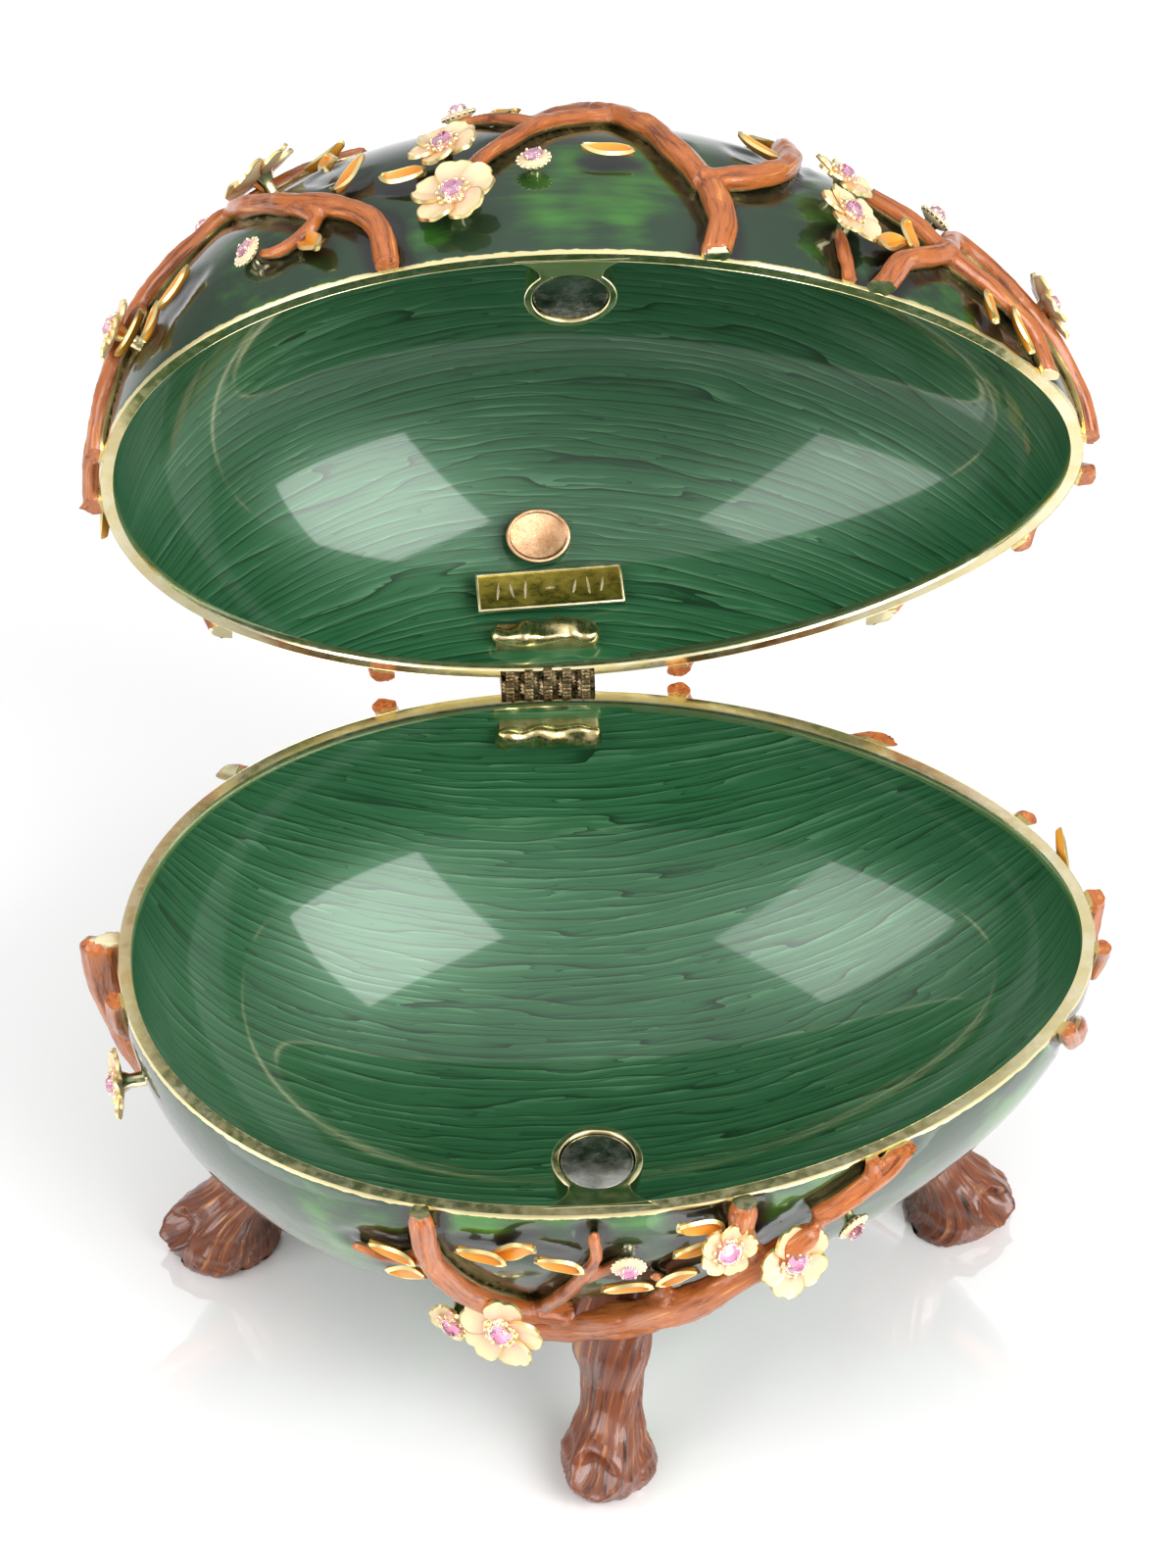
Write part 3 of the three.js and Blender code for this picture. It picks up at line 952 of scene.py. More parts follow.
BRANCHES = (
    # front: from the front leg round to the left, over the rim to the blunt end
    Limb((2.1, 1.9, 1.7), ((98, -44), (103, -36), (109, -26), (113, -13), (114, 0))),
    Limb((1.7, 1.5), ((114, 0), (115, 8), (119, 14), (128, 20), (138, 27), (148, 34))),
    Limb((1.2, 0.8), ((128, 20), (124, 14), (128, 10), (132, 11))),
    Limb((1.2, 0.8), ((113, -10), (118, -15), (124, -14))),
    Limb((1.3, 0.8), ((101, -34), (97, -22), (94, -11), (94, -3))),
    Limb((1.0, 0.8), ((96, -19), (92, -14), (90, -12))),
    # front: the thick branch that crosses the front leg's top and climbs to the right
    Limb(
        (2.9, 2.5, 1.8),
        ((107, -46), (98, -44), (89, -37), (81, -26), (75, -17), (68, -10)),
        sink=0.95,
    ),
    Limb((1.8, 1.6, 1.4), ((68, -10), (61, -5), (57, 0), (53, 8), (45, 15), (40, 22))),
    Limb((1.1, 0.7), ((86, -33), (85, -24), (87, -18))),
    Limb((1.7, 2.0), ((75, -17), (77, -8), (77, 0))),
    # lid: the forked branch at the front and its way over the crown
    Limb((2.0, 2.0, 1.8), ((77, 0), (76, 8), (77, 17))),
    Limb((1.8, 1.5), ((77, 17), (69, 22), (63, 30), (58, 42), (48, 52))),
    Limb((1.8, 1.6, 1.3), ((77, 17), (80, 29), (85, 45), (96, 60), (130, 74), (185, 72))),
    Limb((1.4, 1.1), ((85, 45), (96, 37), (103, 24), (107, 14))),
    Limb((1.2, 0.8), ((96, 37), (104, 44), (112, 48))),
    Limb((1.2, 0.8), ((61, -4), (61, 2), (61, 12))),
    # lid: right side, down to the pointed end
    Limb((1.5, 1.3), ((52, 27), (47, 22), (43, 16), (36, 12), (30, 8), (26, 0))),
    Limb(
        (1.4, 1.3),
        ((40, 22), (34, 28), (28, 26), (22, 18), (16, 13), (9, 5), (4, -4), (3, -12)),
    ),
    Limb((1.4, 1.1), ((26, 0), (22, -8), (13, -14), (6, -22))),
    Limb((1.5, 1.7), ((-6, 3), (-7, 0), (-4, -14), (2, -30), (0, -42))),
    Limb((1.4, 1.4, 1.2), ((-6, 0), (-16, 12), (-28, 20), (-42, 26), (-52, 34))),
    # blunt end: the tall trunk from the left leg over the rim
    Limb((2.0, 1.9, 1.7), ((180, -44), (181, -34), (183, -22), (184, -10), (184, 0)), 1.7),
    Limb((1.7, 1.6, 1.4), ((184, 0), (180, 10), (170, 18), (158, 24), (148, 34))),
    Limb((1.3, 1.6), ((182, -18), (176, -10), (172, 0), (166, 9), (160, 20))),
    Limb((1.3, 0.9), ((148, 34), (142, 44), (134, 52))),
    Limb((1.5, 1.2), ((184, 0), (192, 12), (206, 22), (220, 34))),
    # back: plainer branches from the back leg, over the rim on both sides of the hinge
    Limb(
        (2.0, 1.7, 1.5),
        ((268, -44), (256, -32), (248, -18), (245, 0), (240, 14), (226, 26)),
    ),
    Limb((1.5, 1.2), ((248, -18), (234, -12), (221, 0), (212, 12))),
    Limb(
        (2.0, 1.7, 1.5),
        ((274, -44), (284, -30), (286, -14), (281, 0), (290, 16), (306, 28)),
    ),
    Limb((1.5, 1.2), ((286, -14), (298, -8), (307, 0), (318, 10))),
    Limb((1.4, 1.2), ((284, -30), (304, -24), (322, -14), (332, 0), (340, 10))),
    Limb((1.4, 1.1), ((240, 14), (250, 34), (262, 52), (250, 66))),
)


@dataclass
class Sample:
    """One place on a limb's middle line."""

    place: Vector
    tangent: Vector
    run: float
    radius: float


@dataclass
class BranchWork:
    """All the limbs as one casting, cut at the rim into a share for each half."""

    form: EggForm
    voxel: float = 0.4 * MM
    step: float = 0.7 * MM
    slim: float = 0.93
    folds: int = 5
    samples: list[Sample] = field(default_factory=list)
    casting: bpy.types.Object | None = None

    def course(self, limb: Limb, lift: float) -> list[Vector]:
        """Evenly spaced points along a limb.

        Args:
            limb: the limb.
            lift: height of its middle above the egg.

        Returns:
            The points.
        """
        knots = [self.form.at(turn, rise, lift) for turn, rise in limb.path]
        first = knots[0] * 2 - knots[1]
        last = knots[-1] * 2 - knots[-2]
        knots = [first, *knots, last]
        points = []
        for a, b, c, d in zip(knots, knots[1:], knots[2:], knots[3:]):
            count = max(2, round((c - b).length / self.step))
            for index in range(count):
                points.append(between(a, b, c, d, index / count))
        points.append(knots[-2])
        return points

    def thickness(self, limb: Limb, share: float, run: float, seed: float) -> float:
        """A limb's radius, with swellings and a rounded end.

        Args:
            limb: the limb.
            share: how far along it, from 0 to 1.
            run: the same in metres.
            seed: a number of its own.

        Returns:
            The radius in metres.
        """
        place = share * (len(limb.radii) - 1)
        low = min(int(place), len(limb.radii) - 2)
        plain = limb.radii[low] + (limb.radii[low + 1] - limb.radii[low]) * (place - low)
        swell = self.slim * (1 + 0.15 * noise.noise(Vector((run / (4 * MM), seed, 0))))
        return plain * MM * swell

    def tube(self, limb: Limb, lift: float, seed: float) -> bpy.types.Object:
        """One limb as a closed tube.

        Args:
            limb: the limb.
            lift: height of its middle above the egg.
            seed: a number of its own.

        Returns:
            The tube.
        """
        points = self.course(limb, lift)
        total = sum((b - a).length for a, b in zip(points, points[1:]))
        fresh()
        bpy.ops.curve.primitive_nurbs_path_add()
        path = bpy.context.object
        path.data.splines.clear()
        path.data.bevel_depth = MM
        path.data.bevel_resolution = 4
        path.data.use_fill_caps = True
        spline = path.data.splines.new("POLY")
        spline.points.add(len(points) - 1)
        run = 0.0
        for index, (point, place) in enumerate(zip(spline.points, points)):
            after = points[min(index + 1, len(points) - 1)]
            before = points[max(index - 1, 0)]
            tangent = (after - before).normalized()
            radius = self.thickness(limb, run / total, run, seed)
            left = total - run
            if left < radius:
                radius *= math.sqrt(max(1 - (1 - left / radius) ** 2, 0.04))
            away = self.form.outward(place)
            sideways = away.cross(tangent)
            sway = ripple(Vector((run, seed, 0)), 5 * MM, seed) * 0.22 * radius
            shifted = place + sideways * sway
            point.co = (*shifted, 1)
            point.radius = radius / MM
            self.samples.append(Sample(shifted, tangent, run, radius))
            run += (after - place).length
        bpy.ops.object.convert(target="MESH")
        return bpy.context.object

    def build(self) -> None:
        """Casts all the limbs as one body with smooth forks."""
        tubes = []
        for index, limb in enumerate(BRANCHES):
            lift = limb.sink * limb.radii[0] * MM
            heights = (lift, lift * 2.1, lift * 3.0) if limb.tall > 1 else (lift,)
            for height in heights:
                tubes.append(self.tube(limb, height, index * 3.7 + 1))
        whole = joined(tubes, "branch_casting")
        modify(whole, "REMESH", mode="VOXEL", voxel_size=self.voxel)
        modify(whole, "SMOOTH", factor=0.6, iterations=4)
        self.casting = whole
        self.carve()

    def carve(self) -> None:
        """Presses long folds of bark into the casting."""
        tree = self.tree()
        raises = []
        for vertex in self.casting.data.vertices:
            grain = self.grain(vertex.co, tree)
            angle = math.atan2(grain.z, grain.y)
            thick = math.hypot(grain.y, grain.z)
            fold = math.cos(self.folds * angle + 5 * ripple(vertex.co, 9 * MM))
            depth = 0.05 * min(thick, 2.2) * MM
            raises.append(fold * depth + ripple(vertex.co, 1.6 * MM) * 0.09 * MM)
        raised(self.casting, raises)

    def tree(self) -> KDTree:
        """A search tree of the limbs' middle lines."""
        tree = KDTree(len(self.samples))
        for index, sample in enumerate(self.samples):
            tree.insert(sample.place, index)
        tree.balance()
        return tree

    def grain(self, point: Vector, tree: KDTree) -> Vector:
        """Where a point is on its limb, in mm: along it, and in two directions across it."""
        sample = self.samples[tree.find(point)[1]]
        arm = point - sample.place
        arm -= sample.tangent * arm.dot(sample.tangent)
        away = self.form.outward(sample.place)
        side = away.cross(sample.tangent)
        return Vector((sample.run, arm.dot(away), arm.dot(side))) / MM

    def share(self, half: Half, finishes: Finishes) -> bpy.types.Object:
        """One half's share of the casting, with gold where it is cut at the rim.

        Args:
            half: which half.
            finishes: the materials.

        Returns:
            The limbs on that half, still closed.
        """
        piece = copied(self.casting, Matrix.Identity(4))
        piece.name = f"{half.body}_branches"
        level = half.value * self.form.parting / 2
        with editing(piece):
            bpy.ops.mesh.bisect(
                plane_co=(0, 0, level),
                plane_no=(0, 0, half.value),
                use_fill=True,
                clear_inner=True,
            )
        paint(piece, finishes.bark, finishes.gold)
        tree = self.tree()
        mesh = piece.data
        grains = [self.grain(vertex.co, tree) for vertex in mesh.vertices]
        record_vectors(piece, "grain", grains)
        heights = [self.form.lift_of(vertex.co) / MM for vertex in mesh.vertices]
        record_values(piece, "height", heights)
        for face in mesh.polygons:
            if abs(face.center.z - level) < 0.02 * MM and abs(face.normal.z) > FACING:
                face.material_index = 1
        smooth(piece, 50)
        return piece


# ------------------------------------------------------------------ the two halves


@dataclass
class Ground:
    """How deep the enamel lies round the relief."""

    form: EggForm
    reach: float = 2.6 * MM
    depth: float = 0.42 * MM
    tree: KDTree | None = None

    def learn(self, pieces: list[bpy.types.Object]) -> None:
        """Learns where the relief is from these closed-egg meshes."""
        points = [vertex.co for piece in pieces for vertex in piece.data.vertices]
        near = [point for point in points if self.form.lift_of(point) > -0.4 * MM]
        self.tree = KDTree(len(near))
        for index, point in enumerate(near):
            self.tree.insert(point, index)
        self.tree.balance()

    def pool(self, point: Vector) -> float:
        """1 beside the relief, falling to 0 on the open ground."""
        gap = self.tree.find(point)[2]
        uneven = self.reach * (1 + 0.55 * ripple(point, 5 * MM))
        return 1 - soften(0.35 * uneven, uneven, gap)

    def sunk(self, point: Vector) -> float:
        """How much the ground is sunk at a point."""
        gap = self.tree.find(point)[2]
        climb = soften(0.0, 0.5 * MM, gap)
        return self.depth * self.pool(point) * climb


@dataclass
class EggHalf:
    """One half of the egg: its wall, enamelled on both sides, with its gold rim."""

    form: EggForm
    half: Half
    segments: int = 400
    rings: int = 104
    rim_rings: tuple = (0, 0.16, 0.45, 1.0, 1.7, 2.4)
    notch_middle: float = HINGE_X
    notch_half: float = 6.25 * MM
    notch_from: float = 40.3 * MM
    notch_deep: float = 6.3 * MM
    lining_band: float = 1.25 * MM
    rim_rounding: float = 0.22 * MM
    notch_rounding: float = 1.2 * MM

    def dome(self) -> bpy.types.Object:
        """Half a sphere, open below, that every skin is drawn from."""
        fresh()
        bpy.ops.mesh.primitive_uv_sphere_add(
            segments=self.segments, ring_count=2 * self.rings, radius=1
        )
        dome = bpy.context.object
        with editing(dome):
            bpy.ops.mesh.bisect(plane_co=(0, 0, 0), plane_no=(0, 0, 1), clear_inner=True)
        return dome

    def spaced(self, rise: float) -> float:
        """Moves a ring of the sphere: narrow rings at the rim, even ones above, in degrees."""
        row = rise / (90 / self.rings)
        rows = len(self.rim_rings) - 1
        if row > rows:
            first = self.rim_rings[-1]
            return first + (90 - first) * (row - rows) / (self.rings - rows)
        low = min(int(row + 1e-3), rows)
        high = min(low + 1, rows)
        return self.rim_rings[low] + (self.rim_rings[high] - self.rim_rings[low]) * (row - low)

    def skin(
        self, dome: bpy.types.Object, lift: float, ground: Ground | None
    ) -> bpy.types.Object:
        """One side of the wall.

        Args:
            dome: half a sphere.
            lift: height above the egg's surface.
            ground: what sinks it round the relief, if anything.

        Returns:
            The open skin.
        """
        skin = copied(dome, Matrix.Diagonal((1, 1, self.half.value, 1)))
        level = self.half.value * self.form.parting / 2
        places = []
        for vertex in skin.data.vertices:
            steep = math.asin(max(-1.0, min(1.0, vertex.co.z)))
            rise = self.spaced(abs(math.degrees(steep)))
            around = math.atan2(vertex.co.y, vertex.co.x)
            upward = math.radians(max(rise, 0.0))
            direction = Vector(
                (
                    math.cos(around) * math.cos(upward),
                    math.sin(around) * math.cos(upward),
                    math.sin(upward) * self.half.value,
                )
            )
            rounding = self.rim_rounding * (1 - soften(0.0, 0.9, rise))
            own = lift - rounding if ground else lift + rounding
            place = self.form.point(direction, own)
            if ground:
                fade = soften(0.4, 1.4, rise)
                place -= self.form.outward(place) * ground.sunk(place) * fade
            if rise < 0.01:
                place.z = level
            places.append(place)
        moved(skin, places)
        return skin

    def build(
        self, dome: bpy.types.Object, ground: Ground, finishes: Finishes
    ) -> bpy.types.Object:
        """The whole wall, cut for the hinge.

        Args:
            dome: half a sphere.
            ground: how the outside sinks round the relief.
            finishes: the materials.

        Returns:
            The half in the closed egg's frame.
        """
        outside = self.skin(dome, 0.0, ground)
        inside = self.skin(dome, -self.form.wall, None)
        wall = joined([outside, inside], f"{self.half.body}_wall")
        self.bridge_rim(wall)
        recalculated(wall)
        paint(wall, finishes.ground, finishes.lining, finishes.gold)
        self.cut_notch(wall, finishes)
        self.sort_faces(wall)
        self.mark(wall, ground)
        smooth(wall, 45)
        return wall

    def bridge_rim(self, wall: bpy.types.Object) -> None:
        """Closes the wall with a flat rim between its two open edges."""
        shaped = bmesh.new()
        shaped.from_mesh(wall.data)
        open_edge = {v for edge in shaped.edges if edge.is_boundary for v in edge.verts}
        middle = -self.form.wall / 2
        loops = []
        for outer in (True, False):
            loop = [v for v in open_edge if (self.form.lift_of(v.co) > middle) == outer]
            loop.sort(key=lambda v: math.atan2(v.co.y, v.co.x))
            loops.append(loop)
        count = len(loops[0])
        for index in range(count):
            after = (index + 1) % count
            shaped.faces.new(
                (loops[0][index], loops[0][after], loops[1][after], loops[1][index])
            )
        shaped.to_mesh(wall.data)
        shaped.free()

    def cut_notch(self, wall: bpy.types.Object, finishes: Finishes) -> None:
        """Cuts the rim away, with round corners, where the hinge goes."""
        fresh()
        high = 60 * MM
        size = (2 * self.notch_half, high - self.notch_from, 2 * self.notch_deep)
        middle = (self.notch_middle, (high + self.notch_from) / 2, 0)
        bpy.ops.mesh.primitive_cube_add(size=1, location=middle, scale=size)
        cutter = settled(bpy.context.object)
        paint(cutter, finishes.gold)
        modify(cutter, "BEVEL", width=self.notch_rounding, segments=4)
        modify(wall, "BOOLEAN", operation="DIFFERENCE", object=cutter, solver="MANIFOLD")
        bpy.data.objects.remove(cutter)

    def sort_faces(self, wall: bpy.types.Object) -> None:
        """Gives each face its side's finish."""
        middle = -self.form.wall / 2
        level = self.form.parting / 2
        for face in wall.data.polygons:
            lift = self.form.lift_of(face.center)
            height = abs(face.center.z)
            flat = abs(face.normal.z) > 0.8 and height < level + 0.12 * MM
            beside = abs(face.center.x - self.notch_middle) < self.notch_half + 0.3 * MM
            in_notch = beside and face.center.y > 0 and -1.85 * MM < lift < -0.1 * MM
            if flat or in_notch:
                face.material_index = 2
            elif lift < middle:
                face.material_index = 2 if height < level + self.lining_band else 1
            else:
                face.material_index = 0

    def mark(self, wall: bpy.types.Object, ground: Ground) -> None:
        """Stores how near each place is to the rim and to the relief."""
        level = self.form.parting / 2
        edges = []
        pools = []
        combs = []
        for vertex in wall.data.vertices:
            reach = math.hypot(vertex.co.y, vertex.co.z)
            swing = math.atan2(vertex.co.y, abs(vertex.co.z)) * reach
            combs.append(Vector((vertex.co.x, swing, self.half.value * 30 * MM)) / MM)
            edges.append((abs(vertex.co.z) - level) / MM)
            outside = self.form.lift_of(vertex.co) > -self.form.wall / 2
            pools.append(ground.pool(vertex.co) if outside else 0.0)
        record_values(wall, "edge", edges)
        record_values(wall, "pool", pools)
        record_vectors(wall, "comb", combs)


# ------------------------------------------------------------------ leaves, blossoms and stones

LEAVES = (
    (118, -12, 20), (117, -18, -20), (107, -9, 20), (103, -7, 150), (98, -11, 35),
    (90, -21, 20), (84, -19, 140), (82, -4, 30), (82, -10, 10), (78, -22, -60),
    (121, 24, 120), (124, 9, -120), (147, 13, -30), (151, 9, -80),
    (127, 32, 70), (113, 20, 20), (88, 24, 10), (54, 12, 160), (50, 16, 110),
    (39, 6, -70), (33, 5, -110), (66, 34, 60), (56, 50, 100),
    (104, 50, 60), (138, 46, 150), (158, 12, -40), (192, 5, -40),
    (204, 30, 80), (236, 34, 70), (252, 28, 120),
    (274, 30, 140), (296, 34, 60), (312, 18, -30), (300, -16, -60), (262, -20, 30),
    (238, -22, -20), (340, -2, 160), (346, 18, 60),
)


@dataclass
class Foliage:
    """Amber leaves in relief, each with a raised point and a gold edge."""

    form: EggForm
    half_length: float = 2.9 * MM
    half_width: float = 1.12 * MM
    thick: float = 0.5 * MM
    lift: float = 1.0 * MM

    def pattern(self, finishes: Finishes) -> bpy.types.Object:
        """One leaf, lying along X with its point at +X."""
        fresh()
        bpy.ops.mesh.primitive_grid_add(x_subdivisions=14, y_subdivisions=8, size=2)
        leaf = bpy.context.object
        edges = []
        blooms = []
        for vertex in leaf.data.vertices:
            along, across = vertex.co.x, vertex.co.y
            share = (along + 1) / 2
            width = self.half_width * (math.sin(math.pi * share**0.85) ** 0.7 + 0.03)
            curl = 0.55 * MM * share**2 + 0.45 * MM * across**2
            groove = -0.28 * MM * math.exp(-((across / 0.22) ** 2)) * math.sin(math.pi * share)
            vertex.co = (
                self.half_length * along,
                width * across + 0.35 * MM * math.sin(2.4 * along),
                curl + groove,
            )
            edges.append(max(abs(across) * 0.97, (share - 0.5) * 1.9, (0.5 - share) * 1.9))
            blooms.append(0.25 + 0.6 * share + 0.15 * abs(across))
        record_values(leaf, "edge", edges)
        record_values(leaf, "bloom", blooms)
        modify(leaf, "SOLIDIFY", thickness=self.thick, offset=-1)
        finished(leaf, 60, finishes.leaf)
        return leaf

    def build(self, half: Half, finishes: Finishes) -> bpy.types.Object:
        """All the leaves of one half."""
        pattern = self.pattern(finishes)
        leaves = []
        for turn, rise, tip in LEAVES:
            if (rise > 0) != (half is Half.LID):
                continue
            stand = self.form.standing(turn, rise, self.lift)
            leaves.append(copied(pattern, stand @ Matrix.Rotation(math.radians(180 - tip), 4, "Z")))
        bpy.data.objects.remove(pattern)
        return joined(leaves, f"{half.body}_leaves")


@dataclass
class StoneWork:
    """A round cut stone in a bright cup with four claws."""

    radius: float = 1.3 * MM
    table: float = 0.58
    crown: float = 0.62 * MM
    pavilion: float = 0.55 * MM
    facets: int = 8
    claws: int = 4

    def stone(self, finishes: Finishes) -> bpy.types.Object:
        """The stone, its girdle at height 0."""
        stone = added(
            bpy.ops.mesh.primitive_cylinder_add,
            vertices=2 * self.facets, radius=self.radius, depth=0.12 * MM
        )
        with editing(stone, everything=False):
            for up, rise, reach in ((1, self.crown, self.table), (-1, self.pavilion, 0.25)):
                pick_faces(stone, lambda face, up=up: face.normal.z * up > FACING)
                first = 0.5 + reach / 2
                second = reach / first
                for share, narrow in ((0.55, first), (0.45, second)):
                    climb = (0, 0, up * rise * share)
                    bpy.ops.mesh.extrude_region_move(TRANSFORM_OT_translate={"value": climb})
                    bpy.ops.transform.resize(value=(narrow, narrow, 1))
                bpy.ops.transform.rotate(
                    value=math.pi / (2 * self.facets),
                    orient_axis="Z",
                    center_override=(0, 0, 0),
                )
            bpy.ops.mesh.select_all(action="SELECT")
            bpy.ops.mesh.normals_make_consistent(inside=False)
        paint(stone, finishes.stone)
        return stone

    def cup(self, finishes: Finishes) -> bpy.types.Object:
        """The cup under the stone, with its claws over the edge."""
        cup = added(
            bpy.ops.mesh.primitive_cylinder_add, vertices=24, radius=self.radius * 1.12, depth=0.9 * MM
        )
        with editing(cup, everything=False):
            pick_faces(cup, lambda face: face.normal.z > FACING)
            bpy.ops.mesh.inset(thickness=0.1 * MM)
            bpy.ops.mesh.extrude_region_move(
                TRANSFORM_OT_translate={"value": (0, 0, -0.65 * MM)}
            )
            bpy.ops.transform.resize(value=(0.55, 0.55, 1))
        cup.data.transform(Matrix.Translation((0, 0, -0.42 * MM)))
        finished(cup, 30, finishes.foil)
        claws = [cup]
        for index in range(self.claws):
            angle = (index + 0.5) * 2 * math.pi / self.claws
            claw = added(
                bpy.ops.mesh.primitive_uv_sphere_add,
                segments=8,
                ring_count=6,
                radius=0.24 * MM,
                location=circling(angle, self.radius * 0.95, 0.22 * MM),
                scale=(1, 1, 1.3),
            )
            finished(claw, 80, finishes.gold)
            claws.append(claw)
        return joined(claws, "stone_cup")


@dataclass(frozen=True)
class Place:
    """Where a blossom or a bud sits, the turn of its petals, its size and its nod upwards."""

    turn: float
    rise: float
    spin: float = 0.0
    size: float = 1.0
    nod: float = 0.0
    proud: float = 0.0

    @property
    def half(self) -> Half:
        """The half that carries it."""
        return Half.LID if self.rise > 0 else Half.BASE


BLOSSOMS = {
    "front_left": Place(106, -30, 10, 1, 38, 1.8),
    "front_side": Place(114, -36, 40, 0.62, 30, 1.0),
    "front_right": Place(71, -14, 30, 0.9, 34, 1.4),
    "rim_right": Place(79, -8, 0, 0.7, 20, 0.4),
    "trunk": Place(172, -16, 20, 0.85, 25, 1.0),
    "lid_front": Place(106, 11, 15, 1),
    "lid_upper": Place(108, 24, 50, 0.85),
    "lid_left": Place(143, 38, 5, 1),
    "lid_right_low": Place(60, 13, 25, 0.85),
    "lid_right_high": Place(58, 24, 60, 0.8),
    "lid_end": Place(20, 19, 10, 0.9),
    "lid_blunt": Place(160, 13, 30, 0.75),
    "back_left": Place(226, 27, 20, 0.95),
    "back_right": Place(306, 29, 0, 0.95),
    "back_end": Place(308, 50, 40, 0.85),
    "back_low": Place(304, -25, 15, 0.9),
}

BUDS = {
    "front": Place(90, -12),
    "front_right": Place(62, -17),
    "lid_front": Place(97, 20),
    "lid_left": Place(133, 11),
    "lid_crown": Place(112, 49),
    "lid_blunt": Place(158, 36),
    "lid_right": Place(48, 53),
    "lid_end": Place(36, 32),
    "back_left": Place(212, 13),
    "back_right": Place(319, 11),
}


@dataclass
class BlossomWork:
    """Five cupped petals round a ring of gold beads, on a short calyx."""

    form: EggForm
    stones: StoneWork
    reach: float = 5.3 * MM
    petal_thick: float = 0.42 * MM
    lift: float = 2.7 * MM
    bud_lift: float = 1.9 * MM
    petals: int = 5
    petal_tilt: float = 9.0
    petal_middle: float = 0.56
    petal_length: float = 0.44
    petal_width: float = 0.47
    beads: int = 11
    bead: float = 0.27 * MM
    bud_radius: float = 1.95 * MM
    bud_beads: int = 16

    def petal(self, size: float, finishes: Finishes, seed: float) -> bpy.types.Object:
        """One petal, reaching out along X."""
        fresh()
        bpy.ops.mesh.primitive_grid_add(x_subdivisions=12, y_subdivisions=12, size=2)
        petal = bpy.context.object
        edges = []
        blooms = []
        reach = self.reach * size
        for vertex in petal.data.vertices:
            x = vertex.co.x * math.sqrt(1 - vertex.co.y**2 / 2)
            y = vertex.co.y * math.sqrt(1 - vertex.co.x**2 / 2)
            notch = 0.07 * math.exp(-((y / 0.2) ** 2)) * max(x, 0.0) ** 3
            out = self.petal_middle + self.petal_length * x - notch
            wide = self.petal_width * y * (0.74 + 0.26 * soften(-1, 0.3, x))
            dish = (0.55 * out**2 + 0.6 * y * y * (0.4 + 0.6 * out)) * MM * size
            wave = 0.09 * MM * math.sin(2.6 * y * math.pi + seed) * max(out, 0.0) ** 2
            fold = -0.16 * MM * math.exp(-((y / 0.25) ** 2)) * math.sin(math.pi * min(out, 1.0))
            vertex.co = (reach * out, reach * wide, dish + wave + fold)
            edges.append(math.hypot(x, y))
            blooms.append(out)
        record_values(petal, "edge", edges)
        record_values(petal, "bloom", blooms)
        modify(petal, "SOLIDIFY", thickness=self.petal_thick, offset=-1)
        finished(petal, 60, finishes.petal, finishes.gold)
        return petal

    def flower(self, size: float, finishes: Finishes) -> bpy.types.Object:
        """A whole blossom facing up, its calyx's foot at height 0."""
        parts = []
        for index in range(self.petals):
            petal = self.petal(size, finishes, index * 1.9)
            turn = Matrix.Rotation(index * 2 * math.pi / self.petals, 4, "Z")
            tilt = Matrix.Rotation(math.radians(self.petal_tilt), 4, "X")
            petal.data.transform(Matrix.Translation((0, 0, self.lift)) @ turn @ tilt)
            parts.append(petal)
        ring = self.stones.radius * 1.12 + 0.42 * MM
        height = self.lift + 0.62 * MM
        parts += self.beading(self.beads, ring, height, self.bead, finishes)
        parts.append(self.calyx(self.lift + 0.3 * MM, 0.9 * MM, 2.1 * MM * size, finishes))
        return joined(parts, "blossom_pattern")

    def beading(
        self, count: int, ring: float, height: float, radius: float, finishes: Finishes
    ) -> list[bpy.types.Object]:
        """A ring of gold beads.

        Args:
            count: how many.
            ring: the ring's radius.
            height: its height.
            radius: a bead's radius.
            finishes: the materials.

        Returns:
            The beads.
        """
        beads = []
        for index in range(count):
            place = circling(2 * math.pi * index / count, ring, height)
            bead = added(
                bpy.ops.mesh.primitive_ico_sphere_add, subdivisions=2, radius=radius, location=place
            )
            finished(bead, 80, finishes.gold)
            beads.append(bead)
        return beads

    def calyx(
        self, top: float, foot: float, head: float, finishes: Finishes
    ) -> bpy.types.Object:
        """A gold stalk that widens under a blossom or a bud.

        Args:
            top: its height.
            foot: its radius at the egg.
            head: its radius at the top.
            finishes: the materials.

        Returns:
            The stalk.
        """
        stalk = added(
            bpy.ops.mesh.primitive_cone_add,
            vertices=20,
            radius1=foot,
            radius2=head,
            depth=top + 0.6 * MM,
            location=(0, 0, (top - 0.6 * MM) / 2),
        )
        with editing(stalk):
            bpy.ops.mesh.subdivide(number_cuts=3)
        for vertex in stalk.data.vertices:
            share = soften(-0.6 * MM, top, vertex.co.z)
            waist = 1 - 0.35 * math.sin(math.pi * share)
            rib = 1 + 0.1 * math.cos(5 * math.atan2(vertex.co.y, vertex.co.x)) * share
            vertex.co.x *= waist * rib
            vertex.co.y *= waist * rib
        finished(stalk, 50, finishes.gold)
        return stalk

